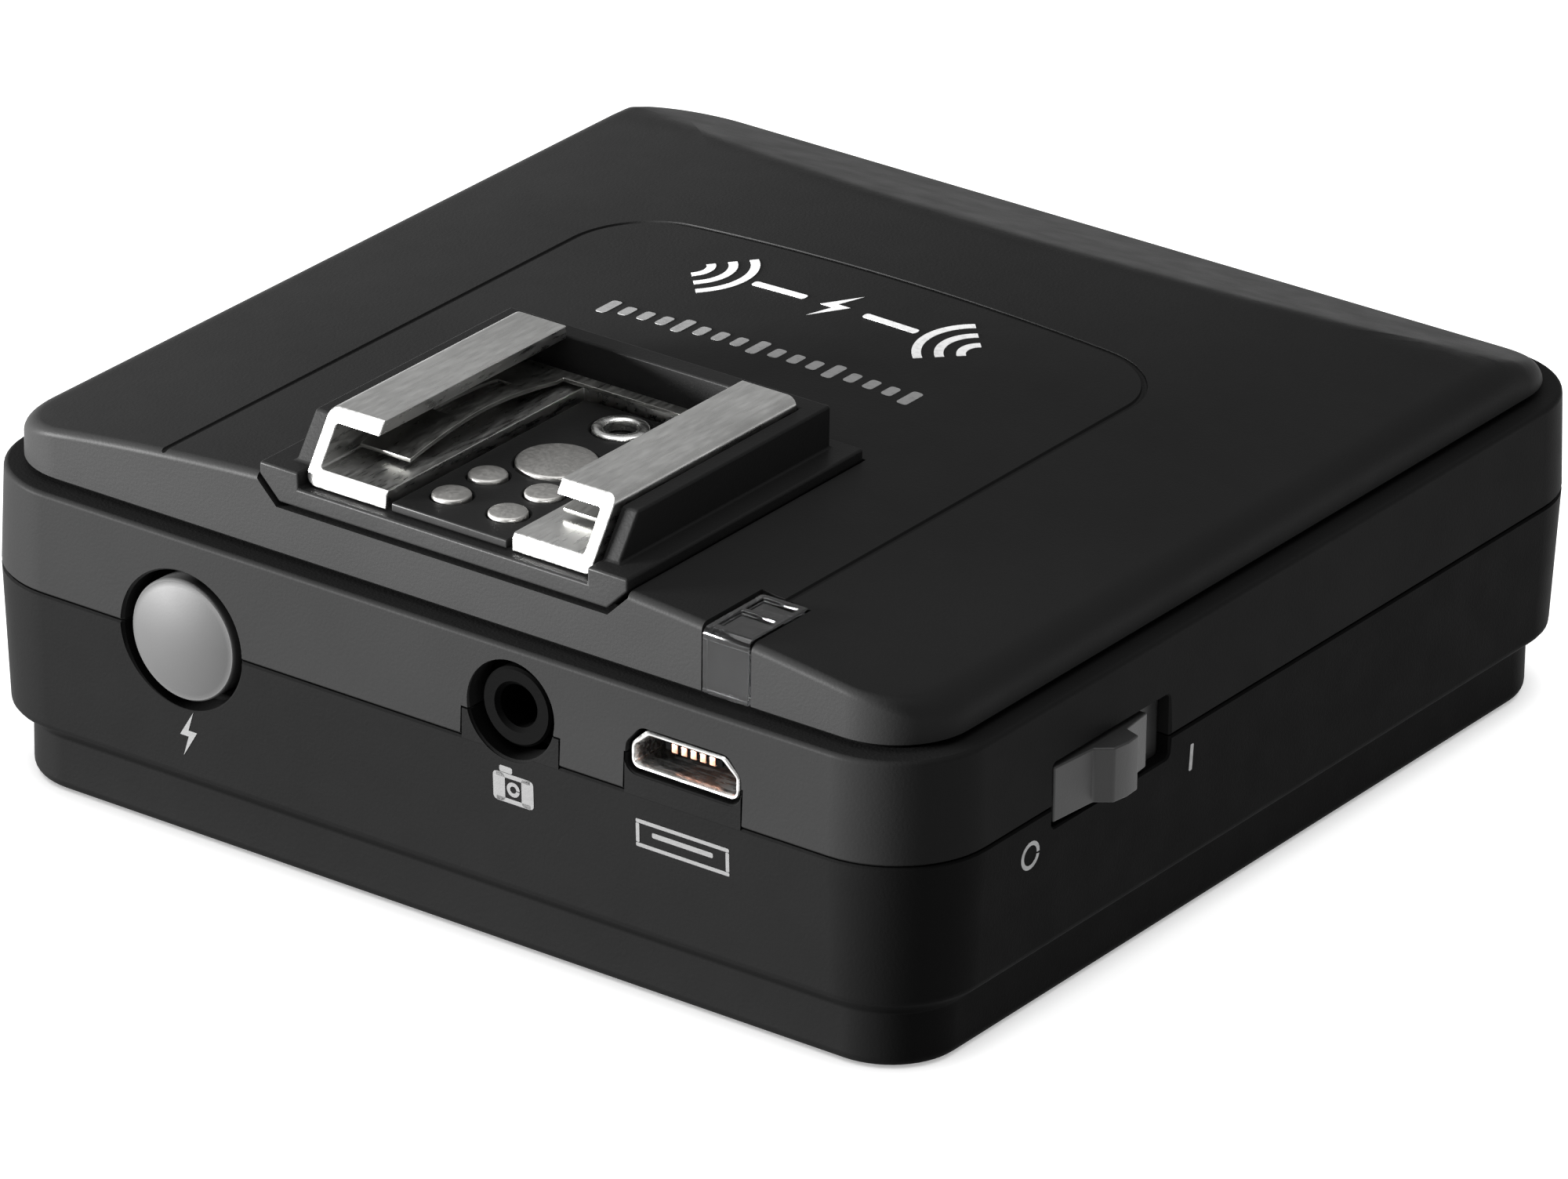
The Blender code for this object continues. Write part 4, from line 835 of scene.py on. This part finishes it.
def make_button():
    """The test button's cap: a smooth dome with a rounded rim, nearly flush with the wall."""
    face, rim = CAP_LOW.y, 0.25
    back = face + 3.0
    ball = (BUTTON_R**2 + BUTTON_DOME**2) / (2 * BUTTON_DOME)
    reach = asin((BUTTON_R - rim) / ball)
    turns = [reach * i / 16 for i in range(17)]
    dome = [(ball * sin(t), face + ball * (1 - cos(t))) for t in turns]
    rim_y = dome[-1][1] + rim * 0.85
    edge = arc((BUTTON_R - rim, rim_y), rim, -60, 0, 5)
    profile = [*dome, *edge, (BUTTON_R, back), (0, back)]
    return turned("button_dome", profile, (BUTTON_X, 0, BUTTON_Z), "Y", 96)


def make_button_collar():
    """The dark flange behind the wall that keeps the cap in."""
    reach, back = (CAP_HIGH.x - CAP_LOW.x) / 2, CAP_HIGH.y
    front, inner = back - 1.0, BUTTON_R + 0.02
    profile = [
        (inner, front + 0.1), (inner + 0.1, front), (reach - 0.15, front),
        (reach, front + 0.15), (reach, back), (inner, back), (inner, front + 0.1),
    ]
    return turned("button_collar", profile, (BUTTON_X, 0, BUTTON_Z), "Y", 72)


def make_knob():
    """The power switch's slider: a flat face with a ridge across it, on a plate behind the window."""
    outer = HALF_X - WINDOW_WALL - SEAM
    inner = KNOB_LOW.x + 1.9
    front = KNOB_LOW.y + KEEPER_REACH
    back = front + KNOB_LENGTH
    proud = KNOB_HIGH.x - HALF_X
    ridge_y = (front + back) / 2 + KNOB_RIDGE_SHIFT
    top, foot = KNOB_RIDGE / 2, KNOB_RIDGE_FOOT / 2
    outline = [
        (inner, KNOB_LOW.y), (outer, KNOB_LOW.y), (outer, front), (HALF_X - 0.1, front),
        (HALF_X + KNOB_FLAT_PROUD, ridge_y - foot), (HALF_X + proud * 0.86, ridge_y - top),
        (HALF_X + proud, ridge_y), (HALF_X + proud * 0.95, ridge_y + top),
        (HALF_X + KNOB_FLAT_PROUD, ridge_y + top + 0.35), (HALF_X - 0.05, back), (outer, back),
        (outer, KNOB_HIGH.y), (inner, KNOB_HIGH.y),
    ]
    knob = prism("slider_knob", outline, WINDOW_Z - KNOB_HALF_Z, WINDOW_Z + KNOB_HALF_Z)
    soften(knob, 0.12)
    low, high = WINDOW_Z - KEEPER_HALF_Z, WINDOW_Z + KEEPER_HALF_Z
    keeper = boxes("slider_plate", ((inner, KNOB_LOW.y, low), (outer, KNOB_HIGH.y, high)))
    middle = (front + back) / 2
    low, high = KNOB_LOW.z, KNOB_LOW.z + 1.4
    places = (middle - 1.4, middle + 1.4)
    prongs = [((KNOB_LOW.x, y - 0.4, low), (inner + 0.3, y + 0.4, high)) for y in places]
    return fuse(knob, soften(keeper, 0.08), boxes("slider_fork", *prongs))


# Sockets and light pipe


def make_jack():
    """The jack: a body with a stepped collar round a deep bore."""
    front, back = FRONT_Y + WALL + 0.1, JACK_HIGH.y
    body = boxes("jack_body", ((JACK_LOW.x, front, JACK_LOW.z), (JACK_HIGH.x, back, JACK_HIGH.z)))
    collar_front, lead_in, depth = JACK_LOW.y, 0.25, 9
    profile = [
        (0, collar_front), (JACK_COLLAR_R - 0.15, collar_front),
        (JACK_COLLAR_R, collar_front + 0.15), (JACK_COLLAR_R, front + 0.6), (0, front + 0.6),
    ]
    fuse(body, turned("jack_collar", profile, (JACK_X, 0, JACK_Z), "Y", 56))
    bore = [
        (0, collar_front - 1), (JACK_BORE_R + lead_in, collar_front - 1),
        (JACK_BORE_R + lead_in, collar_front), (JACK_BORE_R, collar_front + lead_in),
        (JACK_BORE_R, collar_front + depth), (0, collar_front + depth),
    ]
    return cut(body, turned("jack_bore", bore, (JACK_X, 0, JACK_Z), "Y", 48))


def make_usb_shell():
    """The socket's sheet-metal shell, with a rounded, flared rim at its mouth."""
    front, back = USB_LOW.y, USB_HIGH.y

    def ring(grow, y):
        return [(u, y, v) for u, v in usb_outline(grow)]

    t = USB_SHEET
    rings = [
        ring(-t, back),
        ring(-t, front + 0.6),
        ring(-t * 0.6, front + 0.2),
        ring(-t * 0.25, front + 0.02),
        ring(t * 0.2, front),
        ring(t * 0.5, front + 0.08),
        ring(t * 0.55, front + 0.25),
        ring(t * 0.3, front + 0.5),
        ring(0, front + 0.8),
        ring(0, back),
    ]
    return stacked("usb_mouth", rings, closed=True)


def make_usb_tongue():
    """The insulating blade and the block that closes the shell's back."""
    low, high = TONGUE_LOW, TONGUE_HIGH
    blade = boxes("usb_blade", ((low.x, low.y, low.z + 0.6), (high.x, high.y, low.z + 1.0)))
    outline = usb_outline(-USB_SHEET - 0.03)
    block = prism("blade_block", outline, USB_HIGH.y - 1.2, USB_HIGH.y - 0.2, "Y")
    return soften(fuse(blade, block), 0.05, 2)


def make_usb_contacts():
    """Five contact strips that wrap round the blade's front edge."""
    low, high = TONGUE_LOW, TONGUE_HIGH
    bottom, top = low.z + 0.6, low.z + 1.0
    strips = []
    for i in range(5):
        x = USB_X + (i - 2) * 0.65
        strips.append(((x - 0.2, low.y - 0.06, bottom - 0.06), (x + 0.2, high.y - 0.5, top + 0.06)))
    return soften(boxes("usb_contacts", *strips), 0.03, 2)


def make_light_pipe():
    """A clear angle piece over the cover's front edge: two shallow panes on top, a leg below."""
    top = deck_height(PIPE_X, PIPE_HIGH.y)
    front, thick, nose = PIPE_LOW.y, PIPE_THICK, 0.5
    foot = LEDGE_Z + 0.45
    outline = [
        (front, foot), (front + thick, foot), (front + thick, top - thick),
        (PIPE_HIGH.y, top - thick), (PIPE_HIGH.y, top),
        *arc((front + nose, top - nose), nose, 90, 180, 6),
    ]
    pipe = prism("light_window", outline, PIPE_LOW.x, PIPE_HIGH.x, "X")
    leg = ((PIPE_X - 1, PIPE_HIGH.y - 0.8, PIPE_LOW.z), (PIPE_X + 1, PIPE_HIGH.y, top - thick + 0.3))
    fuse(pipe, boxes("pipe_leg", leg))
    rim, bar = 0.42, 0.35
    split = PIPE_HIGH.y - 2.3
    panes = [
        ((PIPE_LOW.x + rim, split + bar / 2, top - 0.22), (PIPE_HIGH.x - rim, PIPE_HIGH.y - rim, top + 1)),
        ((PIPE_LOW.x + rim, front + 0.9, top - 0.22), (PIPE_HIGH.x - rim, split - bar / 2, top + 1)),
    ]
    cut(pipe, boxes("pipe_panes", *panes))
    return soften(pipe, 0.1, 3)


# Screws, insert and cells


def make_screw(node):
    """A pan-head screw from below: rounded head, cross recess and ridged shank."""
    low, high = span(node)
    x, y = (low.x + high.x) / 2, (low.y + high.y) / 2
    head, shank, seat = (high.x - low.x) / 2, 0.9, low.z + 1.2
    thread = []
    for i in range(14):
        z = high.z - 1.0 - 0.6 * i
        thread += [(shank, z), (shank - 0.16, z - 0.3)]
    profile = [
        (0, high.z), (0.45, high.z), *thread, (shank, seat), (head, seat), (head, low.z + 0.55),
        (head - 0.15, low.z + 0.25), (head - 0.45, low.z + 0.05), (0, low.z),
    ]
    screw = turned(node + "_head", profile, (x, y, 0), sides=40)
    slots = (
        ((x - 1.0, y - 0.17, low.z - 1), (x + 1.0, y + 0.17, low.z + 0.6)),
        ((x - 0.17, y - 1.0, low.z - 1), (x + 0.17, y + 1.0, low.z + 0.6)),
    )
    cross = [boxes(f"slot_{i}", slot) for i, slot in enumerate(slots)]
    return cut(screw, *cross)


def make_insert():
    """The brass insert: knurled rings outside and the 1/4-inch thread's ridges inside."""
    low, high = INSERT_LOW.z, INSERT_HIGH.z
    thread = []
    for i in range(5):
        z = low + 0.5 + THREAD_PITCH * i
        thread += [(THREAD_R, z), (THREAD_R - 0.35, z + THREAD_PITCH / 2)]
    profile = [
        (0, high), (INSERT_R - 0.3, high), (INSERT_R, high - 0.3), (INSERT_R, low + 4.6),
        (INSERT_R - 0.35, low + 4.4), (INSERT_R - 0.35, low + 3.2), (INSERT_R, low + 3.0),
        (INSERT_R, low + 0.2), (INSERT_R - 0.2, low), (THREAD_R + 0.25, low), *thread,
        (THREAD_R, high - 0.8), (0, high - 0.8),
    ]
    return turned("thread_bushing", profile, (0, INSERT_Y, 0), sides=72)


def cell_frame(node, nub_side):
    """A cell's axis place, its two shoulders along X and its radius."""
    low, high = span(node)
    radius = (high.z - low.z) / 2
    flat, nub = (low.x, high.x) if nub_side > 0 else (high.x, low.x)
    return (0, (low.y + high.y) / 2, (low.z + high.z) / 2), flat, nub - nub_side * CELL_NUB, radius


def make_cell_sleeve(node, nub_side):
    """The printed sleeve, shrunk a little over the cell's shoulders."""
    place, flat, shoulder, radius = cell_frame(node, nub_side)
    inner, s = radius - 0.5, nub_side
    profile = [
        (inner, flat + s * 0.15), (radius - 0.15, flat + s * 0.15), (radius, flat + s * 0.45),
        (radius, shoulder - s * 0.6), (radius - 0.35, shoulder - s * 0.1),
        (inner, shoulder - s * 0.05), (inner, flat + s * 0.15),
    ]
    return turned(node + "_sleeve", profile, place, "X", 72)


def make_cell_can(node, nub_side):
    """The cell's bare steel ends: a flat base and a stepped top with its nub."""
    place, flat, shoulder, radius = cell_frame(node, nub_side)
    can, s = radius - 0.52, nub_side
    profile = [
        (0, shoulder + s * CELL_NUB), (CELL_NUB_R - 0.25, shoulder + s * CELL_NUB),
        (CELL_NUB_R, shoulder + s * (CELL_NUB - 0.25)), (CELL_NUB_R, shoulder - s * 0.1),
        (CELL_NUB_R + 1.6, shoulder - s * 0.15), (CELL_NUB_R + 1.8, shoulder - s * 0.3),
        (can, shoulder - s * 0.3), (can, flat + s * 0.2), (can - 0.3, flat), (0, flat),
    ]
    return turned(node + "_can", profile, place, "X", 72)


# Printed symbols


def band(centre, radius, width, start, end):
    """A part of a ring, as an outline."""
    outer = arc(centre, radius + width / 2, start, end, 20)
    return outer + arc(centre, radius - width / 2, end, start, 20)


def bar(u, v, half_u, half_v):
    points = rounded(half_u, half_v, min(half_u, half_v) * 0.6, 3)
    return [(u + a, v + b) for a, b, *_ in points]


def frame_bars(u, v, half_u, half_v, line):
    """Four bars round a rectangle."""
    reach = half_u + line / 2
    return [
        bar(u, v + half_v, reach, line / 2),
        bar(u, v - half_v, reach, line / 2),
        bar(u - half_u, v, line / 2, half_v - line * 0.6),
        bar(u + half_u, v, line / 2, half_v - line * 0.6),
    ]


def bolt(u, v, size):
    points = [(0.28, 1.0), (-0.42, -0.12), (0.0, -0.12), (-0.28, -1.0), (0.42, 0.14), (0.0, 0.14)]
    return [(u + a * size, v + b * size) for a, b in points]


def printed(name, outlines, axis, low, high):
    """Raised ink: every outline as a thin closed slab."""
    bm = bmesh.new()
    for outline in outlines:
        add_stack(bm, extruded(outline, low, high, axis))
    return as_object(name, bm)


def lower_lean(z):
    """How far the lower case's wall leans inwards at a height."""
    return LOWER_DRAFT * (PARTING_Z - z) / (PARTING_Z - STEP_Z)


def shifted(obj, axis, shift):
    """Moves each vertex along an axis by what shift says for its place."""
    for vertex in obj.data.vertices:
        vertex.co[axis] += shift(*[value / MM for value in vertex.co]) * MM
    return obj


def front_symbol(name, outlines):
    made = printed(name, outlines, "Y", FRONT_Y - INK, FRONT_Y + INK_DEPTH)
    return shifted(made, 1, lambda x, y, z: lower_lean(z))


def side_symbol(name, outlines):
    made = printed(name, outlines, "X", HALF_X - INK_DEPTH, HALF_X + INK)
    return shifted(made, 0, lambda x, y, z: -lower_lean(z))


def deck_symbol(name, outlines):
    made = printed(name, outlines, "Z", -INK_DEPTH, INK)
    return shifted(made, 2, lambda x, y, z: deck_height(x, y))


def camera_symbol(u, v):
    """A filled camera body with an open ring for its lens."""
    sides = [bar(u + side * 1.0, v, 0.42, 0.9) for side in (-1, 1)]
    edges = [bar(u, v + side * 0.78, 1.2, 0.14) for side in (-1, 1)]
    return [*sides, *edges, band((u, v), 0.34, 0.24, 0, 350), bar(u - 0.5, v + 1.15, 0.45, 0.2)]


def connector_symbol(u, v):
    sides = frame_bars(u, v, 3.1, 0.75, 0.24)
    return [*sides, bar(u, v + 0.1, 2.1, 0.16)]


def link_symbol(u, v):
    """Waves that meet a bolt from both sides."""
    waves = []
    for side, start, end in ((-1, -48, 48), (1, 132, 228)):
        centre = (u + side * 10.6, v)
        waves += [band(centre, r, 0.55, start, end) for r in (1.3, 2.6, 3.9)]
    rails = [bar(u + side * 4.0, v, 1.9, 0.3) for side in (-1, 1)]
    return [*waves, *rails, bolt(u, v, 2.1)]


def scale_symbol(u, v):
    """A plain row of short strokes."""
    return [bar(u + 1.35 * i, v, 0.36, 0.62 if i % 4 else 0.95) for i in range(-8, 9)]


# Materials


def graph(name):
    """A new material, with its node tree and its shader."""
    made = bpy.data.materials.new(name)
    made.use_nodes = True
    tree = made.node_tree
    return made, tree, tree.nodes["Principled BSDF"]


def noise(tree, scale, detail=4.0, stretch=(1, 1, 1)):
    """Noise in object space; scale is in waves per metre."""
    place = tree.nodes.new("ShaderNodeTexCoord")
    mapping = tree.nodes.new("ShaderNodeMapping")
    mapping.inputs["Scale"].default_value = stretch
    made = tree.nodes.new("ShaderNodeTexNoise")
    made.inputs["Scale"].default_value = scale
    made.inputs["Detail"].default_value = detail
    tree.links.new(place.outputs["Object"], mapping.inputs["Vector"])
    tree.links.new(mapping.outputs["Vector"], made.inputs["Vector"])
    return made.outputs["Fac"]


def ramp(tree, value, low, high, out_low, out_high):
    made = tree.nodes.new("ShaderNodeMapRange")
    made.inputs["From Min"].default_value = low
    made.inputs["From Max"].default_value = high
    made.inputs["To Min"].default_value = out_low
    made.inputs["To Max"].default_value = out_high
    tree.links.new(value, made.inputs["Value"])
    return made.outputs["Result"]


def mix(tree, factor, a, b):
    made = tree.nodes.new("ShaderNodeMix")
    made.data_type = "RGBA"
    made.inputs["A"].default_value = (*a, 1)
    made.inputs["B"].default_value = (*b, 1)
    tree.links.new(factor, made.inputs["Factor"])
    return made.outputs["Result"]


def tint(tree, shader, factor, a, b):
    """A base colour that runs from a to b."""
    tree.links.new(mix(tree, factor, a, b), shader.inputs["Base Color"])


def sheen(tree, shader, scale, detail, low, high):
    """A roughness that varies between two values."""
    varied = ramp(tree, noise(tree, scale, detail), 0.3, 0.7, low, high)
    tree.links.new(varied, shader.inputs["Roughness"])


def bump(tree, shader, height, distance):
    """Relief of a depth in millimetres."""
    made = tree.nodes.new("ShaderNodeBump")
    made.inputs["Distance"].default_value = distance * MM
    made.inputs["Strength"].default_value = 1.0
    tree.links.new(height, made.inputs["Height"])
    tree.links.new(made.outputs["Normal"], shader.inputs["Normal"])


def plastic(name, shade, roughness, specular, grain=5500, relief=0.012):
    """Moulded plastic: a fine spark-eroded grain, faint cloudiness and rubbed patches."""
    made, tree, shader = graph(name)
    cloud = ramp(tree, noise(tree, 60, 2), 0.3, 0.7, 0, 1)
    tint(tree, shader, cloud, (shade * 0.93,) * 3, (shade * 1.07,) * 3)
    sheen(tree, shader, 400, 4, roughness - 0.03, roughness + 0.03)
    shader.inputs["Specular IOR Level"].default_value = specular
    bump(tree, shader, noise(tree, grain, 3), relief)
    return made


def metal(name, colour, roughness, streak=(1, 1, 1), relief=0.004):
    """Sheet or turned metal: fine drawn streaks, small stains and a little relief."""
    made, tree, shader = graph(name)
    shader.inputs["Metallic"].default_value = 1.0
    lines = noise(tree, 4000, 3, streak)
    stain = ramp(tree, noise(tree, 260, 4), 0.4, 0.75, 0, 1)
    tint(tree, shader, stain, colour, [c * 0.82 for c in colour])
    drawn = ramp(tree, lines, 0.3, 0.7, roughness - 0.07, roughness + 0.09)
    tree.links.new(drawn, shader.inputs["Roughness"])
    bump(tree, shader, lines, relief)
    return made


def clear(name):
    """Clear moulded plastic, with a faint haze."""
    made, tree, shader = graph(name)
    shader.inputs["Base Color"].default_value = (0.22, 0.225, 0.23, 1)
    shader.inputs["Transmission Weight"].default_value = 1.0
    shader.inputs["IOR"].default_value = 1.49
    sheen(tree, shader, 700, 3, 0.05, 0.16)
    bump(tree, shader, noise(tree, 900, 2), 0.01)
    return made


def ink(name, shade):
    """Pad-printed ink, slightly worn."""
    made, tree, shader = graph(name)
    worn = ramp(tree, noise(tree, 2600, 5), 0.5, 0.75, 0, 1)
    tint(tree, shader, worn, (shade,) * 3, (shade * 0.72,) * 3)
    shader.inputs["Roughness"].default_value = 0.55
    bump(tree, shader, noise(tree, 6000, 2), 0.005)
    return made


def board(name):
    """Solder mask over copper: broad darker tracks under a gloss coat."""
    made, tree, shader = graph(name)
    tracks = ramp(tree, noise(tree, 500, 1, (1, 0.15, 1)), 0.48, 0.52, 0, 1)
    tint(tree, shader, tracks, (0.012, 0.07, 0.035), (0.02, 0.11, 0.05))
    sheen(tree, shader, 900, 3, 0.28, 0.42)
    bump(tree, shader, tracks, 0.02)
    return made


def sleeve(name):
    """A cell's plain dark shrink sleeve."""
    made, tree, shader = graph(name)
    soft = ramp(tree, noise(tree, 150, 3), 0.3, 0.7, 0, 1)
    tint(tree, shader, soft, (0.045, 0.05, 0.06), (0.065, 0.07, 0.08))
    sheen(tree, shader, 800, 4, 0.2, 0.38)
    bump(tree, shader, noise(tree, 350, 3), 0.03)
    return made


def film(name):
    """Amber polyimide film over flat conductors."""
    made, tree, shader = graph(name)
    wires = ramp(tree, noise(tree, 1500, 0, (1, 0.01, 0.01)), 0.45, 0.55, 0, 1)
    tint(tree, shader, wires, (0.3, 0.12, 0.02), (0.42, 0.2, 0.06))
    sheen(tree, shader, 700, 3, 0.22, 0.36)
    bump(tree, shader, wires, 0.02)
    return made


LOOKS = {
    # The cover uses the case's black plastic made lighter than the upper case's, to brighten its deck:
    # painted light.
    "cover": plastic("cover_plastic_painted_light", 0.0085, 0.5, 0.03),
    "upper": plastic("upper_plastic", 0.0066, 0.5, 0.012),
    # The lower case and the door use the upper case's black plastic made about three times darker: painted
    # shade.
    "lower": plastic("lower_plastic_painted_shade", 0.0022, 0.52, 0.014),
    "shoe": plastic("shoe_plastic", 0.007, 0.45, 0.05),
    "insulator": plastic("insulator_plastic", 0.004, 0.4, 0.08, 4000, 0.006),
    "button": plastic("button_plastic", 0.022, 0.5, 0.08, 7000, 0.004),
    "switch": plastic("switch_plastic", 0.02, 0.36, 0.22, 7000, 0.006),
    # Near-black socket plastic; it also colours the painted shade strip under the cover's edge.
    "deep": plastic("socket_plastic", 0.0006, 0.55, 0.008, 4000, 0.006),
    "steel": metal("satin_steel", (0.48, 0.48, 0.47), 0.3, (1, 0.15, 1)),
    "spring": metal("spring_steel", (0.22, 0.22, 0.21), 0.34, (1, 0.2, 1)),
    "contact": metal("contact_nickel", (0.3, 0.295, 0.285), 0.42),
    "socket": metal("socket_sheet", (0.6, 0.6, 0.59), 0.24, (0.2, 1, 1)),
    "copper": metal("copper_strip", (0.5, 0.24, 0.16), 0.4, (1, 0.2, 1)),
    "brass": metal("brass_turned", (0.72, 0.52, 0.24), 0.3, (1, 1, 0.1)),
    "screw": metal("screw_steel", (0.2, 0.2, 0.2), 0.38),
    "clear": clear("clear_plastic"),
    # Front, side and deck inks are one white ink, darkest on the brightly lit front and lightest on the
    # deck: painted shade and light.
    "front_ink": ink("front_ink", 0.02),
    "side_ink": ink("side_ink", 0.2),
    "deck_ink": ink("deck_ink", 0.5),
    "faint_ink": ink("faint_ink", 0.14),
    "board": board("solder_mask"),
    "sleeve": sleeve("cell_sleeve"),
    "film": film("ribbon_film"),
}


# Assembly


def fixed(obj, slot, look, *nodes):
    """Shows a piece of the housing."""
    show(obj, "housing", look, nodes)


def build_case():
    # The cover's look is a lighter copy of the case plastic: painted light.
    fixed(make_cover(), "case_black", "cover", "top_cover")
    # Painted shade: a near-black strip under the cover's edge stands in for its shadow line.
    fixed(make_shade_strip(), "insulator_black", "deep")
    fixed(make_pipe_seat(), "insulator_black", "deep")
    fixed(make_upper_case(), "case_black", "upper", "upper_shell")
    # The lower case's look is a darker copy of the case plastic: painted shade.
    fixed(make_lower_case(), "case_black", "lower", "lower_shell")
    show(make_door(), "battery_door", "lower", ["battery_door"])
    fixed(make_insert(), "brass", "brass", "tripod_insert")
    for i in (1, 2, 3, 4):
        node = f"case_screw_{i}"
        fixed(make_screw(node), "screw_steel", "screw", node)


def build_shoe():
    fixed(make_shoe_base(), "shoe_black", "shoe", "shoe_base")
    fixed(make_rails(), "shoe_steel", "steel", "shoe_rails")
    fixed(make_leaf_spring(), "shoe_steel", "spring", "shoe_spring")
    fixed(make_contact_block(), "insulator_black", "insulator", "contact_block")
    for i, node in enumerate(DATA_CONTACTS):
        contact = make_contact(f"signal_contact_{i + 1}", node)
        fixed(contact, "contact_metal", "contact", node)
    centre = make_contact("main_contact", "centre_contact")
    fixed(centre, "contact_metal", "contact", "centre_contact")
    fixed(make_lock_ring(), "contact_metal", "socket", "lock_ring")


def build_controls():
    show(make_button(), "test_button", "button", ["button_cap"])
    show(make_button_collar(), "test_button", "deep")
    show(make_knob(), "power_switch", "switch", ["switch_knob"])
    fixed(make_jack(), "insulator_black", "deep", "jack_socket")
    fixed(make_usb_shell(), "socket_steel", "socket", "usb_shell")
    fixed(make_usb_tongue(), "insulator_black", "deep", "usb_tongue")
    fixed(make_usb_contacts(), "socket_copper", "copper")
    fixed(make_light_pipe(), "clear_plastic", "clear", "light_pipe")


def build_cells():
    for node, side in (("cell_front", 1), ("cell_rear", -1)):
        fixed(make_cell_sleeve(node, side), "cell_wrap", "sleeve", node)
        fixed(make_cell_can(node, side), "contact_metal", "contact")


def build_symbols():
    # The front, side and deck inks used here are shaded copies of one white ink: painted shade and light.
    bolt_mark = front_symbol("bolt_symbol", [bolt(BUTTON_X + 0.3, BOLT_SYMBOL_Z, 1.5)])
    camera_mark = front_symbol("camera_symbol", camera_symbol(JACK_X + 0.2, FRONT_SYMBOL_Z))
    plug_mark = front_symbol("connector_symbol", connector_symbol(USB_X, FRONT_SYMBOL_Z))
    for mark in (bolt_mark, camera_mark, plug_mark):
        fixed(mark, "case_black", "front_ink")
    ring = band((RING_SYMBOL_Y, SIDE_SYMBOL_Z), 0.75, 0.26, 0, 350)
    line = bar(BAR_SYMBOL_Y, SIDE_SYMBOL_Z, 0.15, 0.85)
    fixed(side_symbol("off_on_symbols", [ring, line]), "case_black", "side_ink")
    link = deck_symbol("link_symbol", link_symbol(-0.5, LINK_SYMBOL_Y))
    fixed(link, "case_black", "deck_ink")
    scale = deck_symbol("scale_symbol", scale_symbol(-0.5, SCALE_SYMBOL_Y))
    fixed(scale, "case_black", "faint_ink")


def dress_inner_nodes():
    """Materials for the CAD nodes that are shown as they are."""
    kinds = {
        "insulator": ["button_plunger", "switch_lever", "processor", "test_switch"],
        "socket": ["radio_shield", "slide_switch"],
        "contact": ["positive_contact", "negative_contact", "bridge_contact"],
        "steel": ["negative_spring", "bridge_spring"],
        "copper": ["antenna"],
        "board": ["main_board", "radio_module"],
        "film": ["shoe_ribbon"],
        "clear": ["status_led"],
    }
    for look, nodes in kinds.items():
        for node in nodes:
            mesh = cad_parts[node].data
            mesh.materials.clear()
            mesh.materials.append(LOOKS[look])


# Stage


CAMERA_AZIMUTH = 35.82
CAMERA_ELEVATION = 25.03
CAMERA_ROLL = 0.82
CAMERA_DISTANCE = 665.0
CAMERA_SHIFT = (-0.119, 7.92)
LENS = 259.0


def view_turn(azimuth, elevation, roll=0.0):
    """A turn that looks along +Y at azimuth 0, down by the elevation."""
    turn = Matrix.Rotation(radians(azimuth), 3, "Z")
    tilt = Matrix.Rotation(radians(90 - elevation), 3, "X")
    return turn @ tilt @ Matrix.Rotation(radians(roll), 3, "Z")


def add_camera():
    lens = bpy.data.cameras.new("camera")
    lens.lens = LENS
    lens.sensor_width = 36.0
    lens.clip_start = 0.01
    camera = bpy.data.objects.new("camera", lens)
    bpy.context.scene.collection.objects.link(camera)
    turn = view_turn(CAMERA_AZIMUTH, CAMERA_ELEVATION, CAMERA_ROLL)
    place = turn @ Vector((*CAMERA_SHIFT, CAMERA_DISTANCE)) * MM
    camera.matrix_world = Matrix.Translation(place) @ turn.to_4x4()
    bpy.context.scene.camera = camera


def add_light(name, azimuth, elevation, distance, size, power):
    """A soft area light aimed at the object; azimuth 0 is in front of it."""
    lamp = bpy.data.lights.new(name, "AREA")
    lamp.shape = "RECTANGLE"
    lamp.size, lamp.size_y = size
    lamp.energy = power
    light = bpy.data.objects.new(name, lamp)
    bpy.context.scene.collection.objects.link(light)
    turn = view_turn(azimuth, elevation)
    light.matrix_world = Matrix.Translation(turn @ Vector((0, 0, distance))) @ turn.to_4x4()
    return light


def add_stage():
    bpy.ops.mesh.primitive_plane_add(size=6.0, location=(0, 0, -0.0001))
    floor = bpy.context.active_object
    floor.name = "floor"
    made, _, shader = graph("floor_paper")
    shader.inputs["Base Color"].default_value = (0.92, 0.92, 0.92, 1)
    shader.inputs["Emission Color"].default_value = (1, 1, 1, 1)
    shader.inputs["Emission Strength"].default_value = 0.35
    shader.inputs["Roughness"].default_value = 0.9
    shader.inputs["Specular IOR Level"].default_value = 0.1
    floor.data.materials.append(made)
    bpy.context.scene.view_settings.view_transform = "Standard"
    world = bpy.data.worlds.new("studio")
    bpy.context.scene.world = world
    world.use_nodes = True
    background = world.node_tree.nodes["Background"]
    background.inputs["Color"].default_value = (1, 1, 1, 1)
    background.inputs["Strength"].default_value = 0.5
    add_light("top", azimuth=10, elevation=80, distance=1.3, size=(1.6, 1.6), power=24)
    key = add_light("key", azimuth=-45, elevation=2.5, distance=1.1, size=(0.4, 0.3), power=225)
    lit = bpy.data.collections.new("lit_by_key")
    lit.objects.link(floor)
    key.light_linking.receiver_collection = lit
    lit.collection_objects[0].light_linking.link_state = "EXCLUDE"


build_case()
build_shoe()
build_controls()
build_cells()
build_symbols()
dress_inner_nodes()
add_camera()
add_stage()
